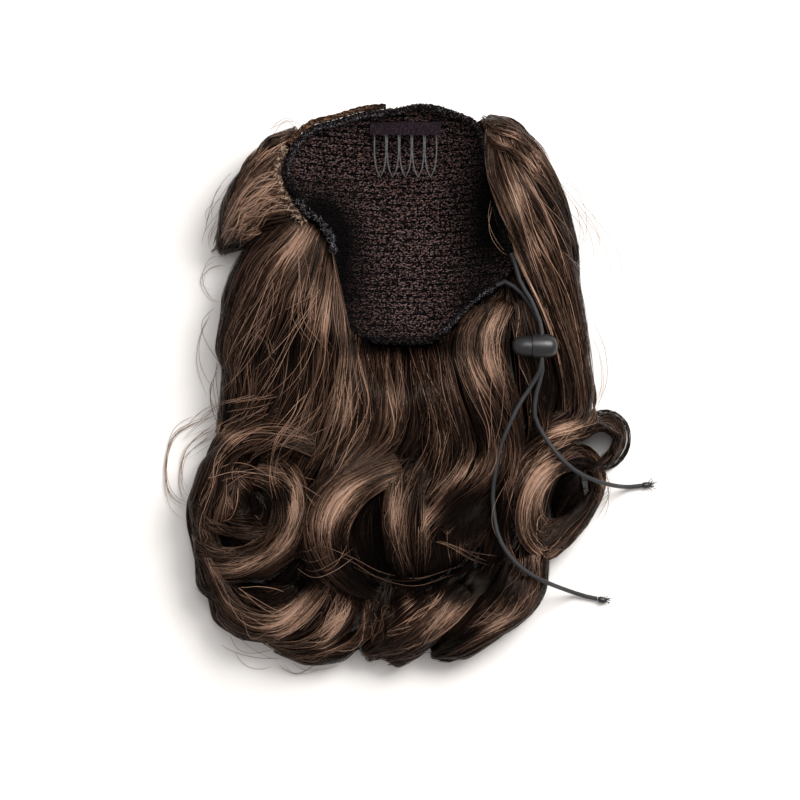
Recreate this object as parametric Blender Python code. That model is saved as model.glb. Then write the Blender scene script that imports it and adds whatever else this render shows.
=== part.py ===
"""Drawstring ponytail hairpiece lying on a surface with its net cap facing up.

The frame stands on that surface: +Z is up, the cap is towards +Y and the tail's ends are towards -Y.
Locks of hair are fused ridges that stand on the surface, grouped into a few solids round the cap.
"""
import math

import bmesh
import bpy
from mathutils import Matrix, Vector

# Overall sizes of the lying hair
HAIR_WIDTH = 0.249
HAIR_LENGTH = 0.323
PILE_HEIGHT = 0.060

# Net cap
CAP_WIDTH = 0.1334
CAP_LENGTH = 0.1357
CAP_CENTRE = (48.0, 21.0)
RIM_HEIGHT = 0.046
BOWL_FLOOR = 0.013
NET_WALL = 0.002
CAP_SEGMENTS = 36

# Drawstring casing and sewn weft bands
CASING_DIAMETER = 0.0044
CASING_START = -14
CASING_END = 327
BAND_TOP_WIDTH = 0.0026
BAND_TOP_DEPTH = 0.005
BAND_LEFT_WIDTH = 0.0046
BAND_LEFT_DEPTH = 0.0016

# Wire comb and its tape
TOOTH_COUNT = 5
TOOTH_PITCH = 0.0072
TOOTH_LENGTH = 0.0315
TOOTH_WIRE = 0.0009
SPINE_DIAMETER = 0.0018
TAPE_LENGTH = 0.040
TAPE_WIDTH = 0.0063
TAPE_WALL = 0.001
COMB_ANGLE = 87
COMB_TOP_REACH = 0.86
COMB_TIP_REACH = 0.36
COMB_SETTLE = 0.0010

# Drawstring and its lock
CORD_DIAMETER = 0.0025
CORD_STEP = 0.0066
TIP_DIAMETER = 0.0040
TIP_LENGTH = 0.0055
LOCK_CENTRE = (0.0712, 0.0239, 0.0533)
BARREL_LENGTH = 0.0143
BARREL_DIAMETER = 0.0142
BUTTON_LENGTH = 0.0114
BUTTON_DIAMETER = 0.0120
BUTTON_TRAVEL = 0.003
STEM_DIAMETER = 0.0088
WINDOW_INSET = 0.0054
WEB = 0.0010

# Locks of hair
LOCK_WIDTH = 0.016
LOCK_CROWN = 0.008
LOCK_STEP = 0.019
ROOT_DROP = 0.004

# Clearances
GAP = 0.0003
HAIR_GAP = 0.0004
RIM_MARGIN = 0.0014
SLIDE_GAP = 0.00035

# Rim of the net: angle in degrees, reach as a share of the cap's half size, height as % of the rim height
RIM = [
    (11, 0.85, 96), (28, 0.88, 96), (41, 0.97, 96), (52, 1.05, 96), (63, 1.03, 96), (78, 1.00, 98),
    (93, 0.94, 98), (107, 0.96, 98), (122, 1.00, 98), (134, 1.09, 100), (146, 1.10, 102), (156, 1.07, 102),
    (165, 0.95, 98), (173, 0.83, 96), (182, 0.67, 93), (200, 0.62, 91), (223, 0.73, 87), (240, 0.94, 78),
    (254, 1.01, 72), (270, 1.00, 70), (286, 1.02, 70), (300, 0.95, 72), (316, 0.92, 76), (329, 1.00, 82),
    (336, 1.07, 86), (343, 1.02, 88), (354, 0.90, 93),
]

# Bowl of the net: reach as a share of the rim's, depth as a share of the bowl's, lean of its face
BOWL = [
    (1.00, 0.00, 1.00), (0.98, 0.12, 0.96), (0.92, 0.24, 0.86), (0.82, 0.40, 0.78),
    (0.68, 0.61, 0.66), (0.50, 0.81, 0.45), (0.31, 0.95, 0.20), (0.14, 1.00, 0.00),
]

# Side of the bed under the cap: height as a share of the side's, reach as a share of the rim's
BED_SIDE = [(0.00, 0.88), (0.30, 0.95), (0.65, 0.96), (1.00, 0.92)]
BED_TOP = 0.24

# Locks: rim angle of the root or None, width and crown as shares of the usual lock's, then the route as
# (% of the hair's width from its left, % of its length from its top, % of the pile's height)
WING_LEFT = [
    (140, 1.00, 0.90, [(19.5, 7.5, 73), (15.5, 12, 62), (12.5, 16, 45), (11, 19.5, 25)]),
    (156, 1.00, 0.90, [(16.5, 11.5, 77), (12, 15, 65), (9.5, 19, 47), (8, 23, 25)]),
    (166, 0.95, 0.90, [(17, 15.5, 77), (12, 18, 65), (9, 21, 48), (7, 24, 28)]),
    (176, 0.95, 0.75, [(19, 19, 72), (13.5, 21.5, 60), (9.5, 24, 47), (6, 25, 33)]),
]
FALL_LEFT = [
    (177, 1.15, 0.90, [(19.5, 23, 62), (15, 26.5, 52), (12, 31, 45), (10, 35.5, 38), (8.5, 39.5, 30)]),
    (183, 1.15, 1.00, [(21, 22.5, 63), (14, 30, 57), (10.5, 37.5, 50), (9, 43.5, 42), (11.5, 49, 35)]),
    (192, 1.30, 1.00, [(23.5, 27.5, 68), (17, 35.5, 65), (13, 42.5, 57), (11, 48.5, 47), (10.5, 53.5, 42),
                       (7.5, 58.5, 35)]),
    (207, 1.35, 1.00, [(28, 31, 72), (23.5, 39.5, 70), (19.5, 47.5, 62), (16, 54, 50), (12.5, 58.5, 38)]),
    (220, 1.30, 1.00, [(31, 36, 72), (29, 43.5, 70), (26, 51.5, 65), (22.5, 57.5, 53), (20, 61.5, 42)]),
    (231, 1.25, 1.00, [(34, 37, 70), (33, 45, 68), (31, 52.5, 63), (29, 59, 55), (27, 65, 43),
                       (26.5, 69.5, 33)]),
]
FALL_CENTRE = [
    (238, 1.00, 1.00, [(36, 43.5, 68), (35.5, 49.5, 70), (35, 56.5, 63), (35, 63.5, 50)]),
    (250, 1.00, 1.00, [(41, 47, 65), (40.5, 53.5, 70), (40, 58.5, 65), (40, 63, 53)]),
    (266, 1.00, 1.00, [(46.5, 47.5, 67), (45.5, 54, 72), (46, 59, 67), (43.5, 63.5, 55)]),
    (278, 1.10, 1.00, [(52, 47.5, 65), (51, 54, 72), (50, 59, 67), (48, 64, 55)]),
    (291, 1.20, 1.00, [(57, 47, 62), (56, 53.5, 63), (55.5, 59, 58), (56, 64.5, 48), (55, 69.5, 40)]),
    (301, 1.00, 1.00, [(60, 43.5, 67), (59.5, 51, 70), (61.5, 58, 67), (64, 63, 63), (60.5, 68.5, 60),
                       (55.5, 73, 60), (52.5, 78.5, 53)]),
    (314, 1.05, 1.00, [(64, 39.5, 70), (63, 47, 73), (66.5, 54.5, 70), (69, 60.5, 63), (65.5, 66, 60),
                       (59, 71, 57)]),
    (328, 1.25, 1.00, [(70, 37.5, 72), (68.5, 45, 75), (71, 53, 70), (73, 59, 60), (72, 65, 55),
                       (72.5, 71, 52), (70.5, 77.5, 47), (67.5, 82.5, 42)]),
]
FALL_RIGHT = [
    (30, 1.00, 1.00, [(72, 13, 80), (75, 20.5, 80), (78.5, 28, 75), (81.5, 36, 68), (84.5, 43, 60),
                      (87.5, 50, 50)]),
    (44, 1.05, 1.00, [(76, 9.5, 78), (80, 16.5, 78), (83, 24.5, 72), (86, 32.5, 63), (88, 40.5, 55),
                      (89, 48.5, 45)]),
    (54, 0.95, 1.10, [(75, 6, 63), (80.5, 12, 63), (83.5, 18, 60), (86, 24.5, 53), (86.5, 32.5, 45),
                      (88.5, 41.5, 40), (90, 50, 35), (90, 56, 33)]),
    (None, 1.30, 1.00, [(90.5, 51, 33), (87.5, 56.5, 43), (81, 58, 50), (74.5, 61, 45)]),
    (340, 1.50, 1.00, [(76.5, 35, 63), (77.5, 42.5, 63), (79, 50, 60), (80, 56.5, 52)]),
    (None, 1.20, 0.80, [(82.5, 43, 45), (84, 49.5, 42), (85, 54, 38)]),
]
CURL_LEFT = [
    (None, 1.05, 1.00, [(26.5, 60.5, 57), (16.5, 58.5, 57), (8, 61.5, 52), (4, 66, 46), (2.5, 71, 43),
                        (3, 76.5, 40)]),
    (None, 1.05, 1.00, [(2.5, 73, 41), (4, 79.5, 40), (12.5, 82, 43), (21, 79.5, 53), (24.5, 73, 60),
                        (22.5, 67, 57)]),
    (None, 1.30, 0.90, [(13.5, 64, 43), (10, 68.5, 50), (11.5, 74.5, 47), (16.5, 77, 40)]),
    (None, 1.60, 0.80, [(23, 62, 33), (17, 67, 27), (18, 73.5, 27), (22.5, 78, 33)]),
    (None, 1.80, 0.70, [(13.5, 60.5, 33), (9, 66, 32), (9, 72.5, 32), (13.5, 79, 30)]),
]
CURL_CENTRE = [
    (None, 1.85, 1.10, [(49, 62.5, 57), (40.5, 64.5, 70), (33.5, 68, 77), (30, 73.5, 77), (31.5, 79.5, 67),
                        (36.5, 84.5, 50), (43, 87.5, 33)]),
    (None, 1.65, 1.10, [(50.5, 63, 57), (48.5, 68.5, 67), (49, 74, 70), (50.5, 80, 60), (51.5, 84.5, 43)]),
    (None, 1.60, 1.00, [(67.5, 69.5, 50), (62.5, 75, 55), (58.5, 79, 50), (54, 83, 43)]),
    (None, 1.45, 0.90, [(45, 65, 55), (41, 71.5, 47), (40.5, 78, 42), (44, 84, 38)]),
]
CURL_RIGHT = [
    (None, 1.20, 1.00, [(91.5, 63, 33), (87, 61.5, 50), (81.5, 63.5, 60), (78.5, 69, 63), (78, 74.5, 57),
                        (80, 78.5, 43)]),
    (None, 0.65, 0.85, [(79, 78.5, 45), (82.5, 79, 35), (87.5, 75.5, 28), (92, 71, 25), (93.5, 67, 27),
                        (92, 63, 32)]),
    (None, 0.36, 0.50, [(88.5, 59.5, 45), (92.5, 57, 43), (96, 56, 40), (98, 57.5, 36), (99, 59.5, 33),
                        (97.5, 61.5, 31), (95, 63.5, 30), (89.5, 64.5, 36)]),
    (None, 1.35, 0.60, [(87.5, 63.5, 30), (86.5, 68, 26), (86, 71, 24), (85.5, 74, 22)]),
]
ENDS_LEFT = [
    (None, 1.15, 1.00, [(32, 83.5, 50), (29.5, 89.5, 53), (21.5, 92, 50), (13, 92, 40), (6, 89.5, 27)]),
    (None, 1.05, 1.00, [(37, 85.5, 47), (34.5, 91.5, 47), (27, 95, 40), (16.5, 94, 23)]),
    (None, 0.80, 0.75, [(40.5, 93, 33), (35, 96.5, 30), (27.5, 97.5, 23), (19, 96, 15)]),
    (None, 1.30, 1.10, [(3, 78, 30), (5.5, 85, 33), (15.5, 88, 40), (25, 86, 47)]),
    (None, 1.20, 0.95, [(45, 84.5, 38), (42.5, 89.5, 43), (40, 93.5, 33)]),
    (None, 1.80, 0.80, [(16.5, 82.5, 30), (24, 82.5, 32), (32, 85, 34)]),
]
ENDS_RIGHT = [
    (None, 0.95, 1.00, [(81, 77.5, 42), (79, 84.5, 40), (75.5, 89, 40), (68, 93, 37), (61, 96.5, 30),
                        (55, 97, 20)]),
    (None, 1.25, 1.00, [(74, 80.5, 48), (72, 86, 50), (66, 90.5, 47), (61, 93.5, 40), (57, 96, 27)]),
    (None, 1.15, 1.00, [(64, 85, 53), (59.5, 88.5, 57), (54, 92.5, 50), (49.5, 96, 37), (46, 99, 20)]),
    (None, 1.15, 0.90, [(55, 87, 50), (50.5, 90.5, 50), (46, 94, 40), (39.5, 97.5, 23)]),
    (None, 2.00, 0.80, [(45.5, 86.5, 30), (55.5, 86.5, 32), (65.5, 84, 34), (77, 78, 36)]),
]

# Free stretches of the drawstring after the casing, points in metres, lying on the hair and on the surface
CORD_UPPER_START = [(0.0600, 0.0720, 0.0465), (0.0636, 0.0592, 0.0485), (0.0690, 0.0505, 0.0512)]
CORD_UPPER_END = [
    (0.0732, 0.0085, 0.0520), (0.0690, 0.0010, 0.0490), (0.0625, -0.0090, 0.0490), (0.0567, -0.0210, 0.0490),
    (0.0520, -0.0330, 0.0472), (0.0492, -0.0470, 0.0458), (0.0478, -0.0600, 0.0415), (0.0490, -0.0750, 0.0408),
    (0.0515, -0.0850, 0.0418), (0.0560, -0.0930, 0.0412), (0.0620, -0.1000, 0.0398), (0.0700, -0.1060, 0.0360),
    (0.0785, -0.1103, 0.0332), (0.0880, -0.1146, 0.0160), (0.0970, -0.1182, 0.0035), (0.1030, -0.1200, 0.0023),
    (0.1090, -0.1213, 0.0023),
]
CORD_LOWER_START = [(0.0560, 0.0598, 0.0425), (0.0622, 0.0558, 0.0458), (0.0688, 0.0474, 0.0481)]
CORD_LOWER_END = [
    (0.0754, 0.0085, 0.0488), (0.0725, -0.0015, 0.0465), (0.0712, -0.0140, 0.0445), (0.0745, -0.0230, 0.0412),
    (0.0790, -0.0300, 0.0425), (0.0840, -0.0370, 0.0440), (0.0905, -0.0435, 0.0430), (0.0980, -0.0487, 0.0385),
    (0.1080, -0.0530, 0.0300), (0.1180, -0.0556, 0.0190), (0.1250, -0.0566, 0.0060), (0.1300, -0.0566, 0.0023),
    (0.1345, -0.0560, 0.0023),
]


def clear_scene():
    for item in list(bpy.data.objects):
        bpy.data.objects.remove(item, do_unlink=True)


def material(name, colour, roughness, metallic=0.0):
    made = bpy.data.materials.new(name)
    made.use_nodes = True
    shader = made.node_tree.nodes["Principled BSDF"]
    shader.inputs["Base Color"].default_value = (*colour, 1.0)
    shader.inputs["Roughness"].default_value = roughness
    shader.inputs["Metallic"].default_value = metallic
    return made


def mesh_object(name, verts, faces, surface=None):
    mesh = bpy.data.meshes.new(name)
    mesh.from_pydata([tuple(v) for v in verts], [], faces)
    mesh.update()
    made = bpy.data.objects.new(name, mesh)
    bpy.context.scene.collection.objects.link(made)
    if surface:
        mesh.materials.append(surface)
    return made


def smooth(made, angle=40):
    made.data.shade_smooth()
    made.data.set_sharp_from_angle(angle=math.radians(angle))
    return made


def loft(name, rings, surface=None):
    """A closed body through rings of equal count, with a flat face on its first and last ring."""
    count = len(rings[0])
    verts = [point for ring in rings for point in ring]
    faces = []
    for row in range(len(rings) - 1):
        for i in range(count):
            j = (i + 1) % count
            low = row * count
            high = low + count
            faces.append((low + i, low + j, high + j, high + i))
    faces.append(tuple(reversed(range(count))))
    last = (len(rings) - 1) * count
    faces.append(tuple(last + i for i in range(count)))
    return face_out(mesh_object(name, verts, faces, surface))


def face_out(made):
    """Turns the faces of a closed body outwards."""
    work = bmesh.new()
    work.from_mesh(made.data)
    bmesh.ops.recalc_face_normals(work, faces=work.faces)
    if work.calc_volume(signed=True) < 0:
        bmesh.ops.reverse_faces(work, faces=work.faces)
    work.to_mesh(made.data)
    work.free()
    return made


def hermite(a, b, slope_a, slope_b, t):
    """Cubic between two values with the given slopes over the unit step."""
    t2 = t * t
    t3 = t2 * t
    return (2 * t3 - 3 * t2 + 1) * a + (t3 - 2 * t2 + t) * slope_a + (3 * t2 - 2 * t3) * b + (t3 - t2) * slope_b


def smooth_route(points, step):
    """Points read every step or so along a smooth curve through the given points."""
    line = [Vector(p) for p in points]
    slopes = []
    for i in range(len(line)):
        before = line[max(i - 1, 0)]
        after = line[min(i + 1, len(line) - 1)]
        slopes.append((after - before) / 2 if 0 < i < len(line) - 1 else after - before)
    fine = []
    for i in range(len(line) - 1):
        for k in range(16):
            fine.append(hermite(line[i], line[i + 1], slopes[i], slopes[i + 1], k / 16))
    fine.append(line[-1])
    lengths = [0.0]
    for a, b in zip(fine, fine[1:]):
        lengths.append(lengths[-1] + (b - a).length)
    count = max(2, round(lengths[-1] / step))
    out = []
    k = 0
    for n in range(count + 1):
        target = lengths[-1] * n / count
        while k < len(fine) - 2 and lengths[k + 1] < target:
            k += 1
        span = lengths[k + 1] - lengths[k]
        out.append(fine[k].lerp(fine[k + 1], (target - lengths[k]) / span))
    return out


def hair_place(share):
    """World place of a point given in % of the hair's width, length and pile height."""
    x = (share[0] / 100 - 0.5) * HAIR_WIDTH
    y = (0.5 - share[1] / 100) * HAIR_LENGTH
    return Vector((x, y, share[2] / 100 * PILE_HEIGHT))


def cap_centre():
    return hair_place((*CAP_CENTRE, 0))


def rim_row(angle):
    """Reach and height of the rim at an angle, read from a smooth closed curve through the table."""
    angle = (angle - RIM[0][0]) % 360 + RIM[0][0]
    count = len(RIM)
    index = max(i for i in range(count) if RIM[i][0] <= angle)
    rows = []
    for k in range(index - 1, index + 3):
        turn = k // count * 360
        row = RIM[k % count]
        rows.append((row[0] + turn, row[1], row[2]))
    span = rows[2][0] - rows[1][0]
    t = (angle - rows[1][0]) / span
    values = []
    for column in (1, 2):
        slope_a = (rows[2][column] - rows[0][column]) / (rows[2][0] - rows[0][0]) * span
        slope_b = (rows[3][column] - rows[1][column]) / (rows[3][0] - rows[1][0]) * span
        values.append(hermite(rows[1][column], rows[2][column], slope_a, slope_b, t))
    return values


def rim_base(angle):
    """Point of the rim's top outer edge at an angle."""
    reach, height = rim_row(angle)
    turn = math.radians(angle)
    x = CAP_WIDTH / 2 * reach * math.cos(turn)
    y = CAP_LENGTH / 2 * reach * math.sin(turn)
    return cap_centre() + Vector((x, y, RIM_HEIGHT * height / 100))


def rim_out(angle):
    """Level direction straight out of the rim at an angle."""
    along = rim_base(angle + 2) - rim_base(angle - 2)
    return Vector((along.y, -along.x, 0)).normalized()


def rim_point(angle, out=0.0, rise=0.0):
    return rim_base(angle) + rim_out(angle) * out + Vector((0, 0, rise))


def cap_angles():
    return [360 * i / CAP_SEGMENTS for i in range(CAP_SEGMENTS)]


def bowl_point(angle, row, offset):
    """Point on the bowl's outer face, moved outwards by the offset."""
    reach, depth, lean = row
    rim = rim_base(angle)
    centre = cap_centre()
    centre.z = rim.z
    point = centre.lerp(rim, reach)
    point.z = rim.z + (BOWL_FLOOR - rim.z) * depth
    down = math.sqrt(max(0.0, 1 - lean * lean))
    return point + rim_out(angle) * offset * lean - Vector((0, 0, offset * down))


def bowl_ring(row, offset):
    return [bowl_point(angle, row, offset) for angle in cap_angles()]


def bowl_height(x, y):
    """Height of the bowl's inner face over a level place."""
    centre = cap_centre()
    u = (x - centre.x) / (CAP_WIDTH / 2)
    v = (y - centre.y) / (CAP_LENGTH / 2)
    angle = math.degrees(math.atan2(v, u))
    reach, height = rim_row(angle)
    share = math.hypot(u, v) / reach
    rows = BOWL[::-1]
    if share <= rows[0][0]:
        depth = rows[0][1]
        lean = rows[0][2]
    else:
        index = max(i for i in range(len(rows) - 1) if rows[i][0] < share)
        t = (share - rows[index][0]) / (rows[index + 1][0] - rows[index][0])
        depth = rows[index][1] + (rows[index + 1][1] - rows[index][1]) * t
        lean = rows[index][2] + (rows[index + 1][2] - rows[index][2]) * t
    rim_z = RIM_HEIGHT * height / 100
    slant = max(0.3, math.sqrt(max(0.0, 1 - lean * lean)))
    return rim_z + (BOWL_FLOOR - rim_z) * depth + NET_WALL / slant


def net_cap(surface):
    outer = [bowl_ring(row, 0.0) for row in reversed(BOWL)]
    inner = [bowl_ring(row, -NET_WALL) for row in BOWL]
    return smooth(loft("net_cap", outer + inner, surface))


def bed_row(share):
    """Row of the bowl table at a reach between two of its rows."""
    rows = BOWL[::-1]
    index = max(i for i in range(len(rows) - 1) if rows[i][0] < share)
    t = (share - rows[index][0]) / (rows[index + 1][0] - rows[index][0])
    return tuple(a + (b - a) * t for a, b in zip(rows[index], rows[index + 1]))


def bed_side_ring(height, reach, grow):
    """Level-sided ring round the bed, from the surface up to where the bowl starts."""
    top_row = bed_row(BED_SIDE[-1][1])
    ring = []
    for angle in cap_angles():
        top = bowl_point(angle, top_row, GAP + grow)
        foot = cap_centre()
        rim = rim_base(angle)
        point = foot.lerp(Vector((rim.x, rim.y, 0)), reach)
        point += rim_out(angle) * grow
        point.z = top.z * height
        ring.append(point)
    return ring


def hair_bed(surface):
    side = [bed_side_ring(height, reach, 0.0) for height, reach in BED_SIDE]
    top = [row for row in BOWL if row[0] < BED_SIDE[-1][1]]
    rings = side + [bowl_ring(row, GAP) for row in top]
    return smooth(loft("hair_bed", rings, surface))


def cap_keepout():
    """Closed body of the bed, the bowl and the room above it, which the hair round the cap stays out of."""
    margin = CASING_DIAMETER / 2 - NET_WALL / 2 + RIM_MARGIN
    side = [bed_side_ring(height, reach, HAIR_GAP) for height, reach in BED_SIDE]
    below = [Vector((p.x, p.y, -PILE_HEIGHT)) for p in side[0]]
    wall = [bowl_ring(row, HAIR_GAP) for row in reversed(BOWL) if row[0] > BED_SIDE[-1][1]]
    wall = wall[:-1]
    shelf = [rim_point(angle, HAIR_GAP, -GAP) for angle in cap_angles()]
    edge = [rim_point(angle, margin, 0) for angle in cap_angles()]
    above = [Vector((p.x, p.y, 2 * PILE_HEIGHT)) for p in edge]
    return loft("cutter_cap", [below] + side + wall + [shelf, edge, above])


def sweep_rim(name, start, end, section, surface=None, step=8):
    """A closed body with a level section swept along the rim between two angles."""
    count = max(2, round((end - start) / step))
    rings = []
    for i in range(count + 1):
        angle = start + (end - start) * i / count
        rings.append([rim_point(angle, out, rise) for out, rise in section])
    return loft(name, rings, surface)


def rim_casing(surface):
    """The hem that holds the drawstring, seated on the rim of the net."""
    radius = CASING_DIAMETER / 2
    middle = (-NET_WALL / 2, radius + GAP)
    section = []
    for k in range(8):
        turn = 2 * math.pi * k / 8
        section.append((middle[0] + radius * math.cos(turn), middle[1] + radius * math.sin(turn)))
    return smooth(sweep_rim("rim_casing", CASING_START, CASING_END, section, surface, 8))


def box_section(out, rise, width, depth, grow=0.0):
    low = rise - depth - grow
    high = rise + grow
    near = out - grow
    far = out + width + grow
    return [(near, low), (far, low), (far, high), (near, high)]


def band_start():
    """How far outside the rim a weft band starts, clear of the casing."""
    return CASING_DIAMETER / 2 - NET_WALL / 2 + GAP


def weft_band_top(surface, grow=0.0):
    section = box_section(band_start(), 0.0015, BAND_TOP_WIDTH, BAND_TOP_DEPTH, grow)
    name = "cutter_band_top" if grow else "weft_band_top"
    return sweep_rim(name, 97 - grow * 1000, 145 + grow * 1000, section, surface, 7)


def weft_band_left(surface, grow=0.0):
    section = box_section(band_start(), 0.001, BAND_LEFT_WIDTH, BAND_LEFT_DEPTH, grow)
    name = "cutter_band_left" if grow else "weft_band_left"
    return sweep_rim(name, 147 - grow * 1000, 176 + grow * 1000, section, surface, 5)


def comb_frame():
    """Matrix with its origin on the comb's spine, +X along it and the teeth towards -Y."""
    top_row = bed_row(COMB_TOP_REACH)
    tip_row = bed_row(COMB_TIP_REACH)
    top = bowl_point(COMB_ANGLE, top_row, -NET_WALL)
    tip = bowl_point(COMB_ANGLE, tip_row, -NET_WALL)
    fall = tip - top
    fall.x = 0
    tilt = math.atan2(-fall.z, -fall.y)
    turn = Matrix.Rotation(tilt, 4, "X")
    half = TAPE_WALL + SPINE_DIAMETER / 2 + GAP
    lift = 0.0
    for x in (-TAPE_LENGTH / 2, TAPE_LENGTH / 2):
        for y in (TAPE_WIDTH * 0.4, -TAPE_WIDTH * 0.6, -TOOTH_LENGTH):
            width = 1.0 if y > -TAPE_WIDTH else 0.8
            corner = Matrix.Translation(top) @ turn @ Vector((x * width, y, -half))
            lift = max(lift, bowl_height(corner.x, corner.y) + GAP - corner.z)
    return Matrix.Translation(top + Vector((0, 0, lift - COMB_SETTLE))) @ turn


def tube(name, points, radius, sides):
    """A closed round bar along level points in the XY plane."""
    rings = []
    for i, point in enumerate(points):
        along = (points[min(i + 1, len(points) - 1)] - points[max(i - 1, 0)]).normalized()
        side = Vector((along.y, -along.x, 0))
        ring = []
        for k in range(sides):
            turn = 2 * math.pi * k / sides
            ring.append(point + side * radius * math.cos(turn) + Vector((0, 0, radius * math.sin(turn))))
        rings.append(ring)
    return loft(name, rings)


def tooth_line(middle):
    """Centreline of one loop tooth: wide from its root to its middle, then narrowing to a round tip."""
    # half width as a share of the pitch, drop as a share of the tooth's length
    half = [(0.42, 0.0), (0.45, 0.28), (0.455, 0.52), (0.37, 0.74), (0.21, 0.92), (0.08, 0.99)]
    down = [Vector((middle - w * TOOTH_PITCH, -d * TOOTH_LENGTH, 0)) for w, d in half]
    up = [Vector((middle + w * TOOTH_PITCH, -d * TOOTH_LENGTH, 0)) for w, d in reversed(half)]
    return smooth_route(down + up, TOOTH_LENGTH / 6)


def comb(surface):
    reach = TOOTH_PITCH * TOOTH_COUNT / 2
    ends = [Vector((-reach, 0, 0)), Vector((0, 0, 0)), Vector((reach, 0, 0))]
    made = tube("comb", ends, SPINE_DIAMETER / 2, 8)
    made.data.materials.append(surface)
    for i in range(TOOTH_COUNT):
        middle = (i - (TOOTH_COUNT - 1) / 2) * TOOTH_PITCH
        join(made, tube("tooth", tooth_line(middle), TOOTH_WIRE / 2, 6), "UNION")
    made.data.transform(comb_frame())
    return smooth(made)


def comb_tape(surface):
    """Folded tape round the spine, open on the side where the teeth leave."""
    slot = SPINE_DIAMETER / 2 + GAP
    skin = slot + TAPE_WALL
    back = TAPE_WIDTH * 0.4
    mouth = -TAPE_WIDTH * 0.6
    section = [(back, -skin), (mouth, -skin), (mouth, -slot), (slot, -slot),
               (slot, slot), (mouth, slot), (mouth, skin), (back, skin)]
    rings = []
    for x in (-TAPE_LENGTH / 2, TAPE_LENGTH / 2):
        rings.append([Vector((x, y, z)) for y, z in section])
    made = loft("comb_tape", rings, surface)
    made.data.transform(comb_frame())
    return made


def turned(name, profile, surface=None, sides=16):
    """A closed body turned round the X axis through (x, radius) rows."""
    rings = []
    for x, radius in profile:
        ring = []
        for k in range(sides):
            turn = 2 * math.pi * (k + 0.5) / sides
            ring.append(Vector((x, radius * math.cos(turn), radius * math.sin(turn))))
        rings.append(ring)
    return loft(name, rings, surface)


def box(name, low, high):
    corners = [(low[0], low[1]), (high[0], low[1]), (high[0], high[1]), (low[0], high[1])]
    rings = [[Vector((x, y, z)) for x, y in corners] for z in (low[2], high[2])]
    return loft(name, rings)


def join(made, other, operation):
    """Applies an exact Boolean with another object, which is then removed.

    A lock that bends tighter than it is wide crosses itself, so where nothing is left the Boolean is
    done again with such crossings resolved, and then once more with the solver for closed bodies.
    """
    before = made.data
    for solver, crossing in (("EXACT", False), ("EXACT", True), ("MANIFOLD", False)):
        made.data = before
        step = made.modifiers.new(operation, "BOOLEAN")
        step.operation = operation
        step.solver = solver
        step.use_self = crossing
        step.object = other
        apply_modifiers(made)
        if made.data.polygons:
            break
    bpy.data.objects.remove(other, do_unlink=True)
    return made


def apply_modifiers(made):
    bpy.context.view_layer.update()
    depsgraph = bpy.context.evaluated_depsgraph_get()
    fresh = bpy.data.meshes.new_from_object(made.evaluated_get(depsgraph))
    made.modifiers.clear()
    made.data = fresh


def cord_room():
    """Half height of the room for both cords, one above the other."""
    return (2 * CORD_DIAMETER + 3 * GAP) / 2


def lock_mouth():
    """World place of the middle of the barrel's mouth."""
    centre = Vector(LOCK_CENTRE)
    return centre + Vector(((BUTTON_LENGTH - BARREL_LENGTH) / 2, 0, 0))


def lock_barrel(surface):
    """Barrel turned round the X axis, its mouth at x = 0, bored for the button and cut for the cords."""
    outer = BARREL_DIAMETER / 2
    mouth = BUTTON_DIAMETER / 2 + SLIDE_GAP
    bore = STEM_DIAMETER / 2 + SLIDE_GAP
    stem_end = WINDOW_INSET + CORD_DIAMETER / 2 + GAP + WEB
    bottom = stem_end + BUTTON_TRAVEL + SLIDE_GAP
    profile = [
        (bottom, bore * 0.6), (bottom, bore), (BUTTON_TRAVEL + SLIDE_GAP, bore),
        (BUTTON_TRAVEL + SLIDE_GAP, mouth), (0, mouth), (0, outer * 0.97), (BARREL_LENGTH * 0.12, outer),
        (BARREL_LENGTH * 0.45, outer), (BARREL_LENGTH * 0.75, outer * 0.91), (BARREL_LENGTH * 0.92, outer * 0.70),
        (BARREL_LENGTH, outer * 0.34),
    ]
    made = turned("lock_barrel", profile, surface)
    half = CORD_DIAMETER / 2 + GAP
    room = cord_room()
    low = (WINDOW_INSET - half, -BARREL_DIAMETER, -room)
    high = (WINDOW_INSET + half, BARREL_DIAMETER, room)
    join(made, box("cutter_window", low, high), "DIFFERENCE")
    made.data.transform(Matrix.Translation(lock_mouth()))
    return smooth(made, 30)


def lock_button(surface):
    """Domed button with a stem that runs in the barrel, slotted so that the cords stay clear as it slides."""
    radius = BUTTON_DIAMETER / 2
    stem = STEM_DIAMETER / 2
    stem_end = WINDOW_INSET + CORD_DIAMETER / 2 + GAP + WEB
    profile = [
        (-BUTTON_LENGTH, radius * 0.30), (-BUTTON_LENGTH * 0.93, radius * 0.60), (-BUTTON_LENGTH * 0.78, radius * 0.85),
        (-BUTTON_LENGTH * 0.50, radius * 0.98), (-BUTTON_LENGTH * 0.30, radius), (-SLIDE_GAP, radius),
        (-SLIDE_GAP, stem), (stem_end, stem),
    ]
    made = turned("lock_button", profile, surface)
    half = CORD_DIAMETER / 2 + GAP
    room = cord_room()
    low = (WINDOW_INSET - half - BUTTON_TRAVEL, -BUTTON_DIAMETER, -room)
    high = (WINDOW_INSET + half, BUTTON_DIAMETER, room)
    join(made, box("cutter_slot", low, high), "DIFFERENCE")
    made.data.transform(Matrix.Translation(lock_mouth()))
    return smooth(made, 30)


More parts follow.
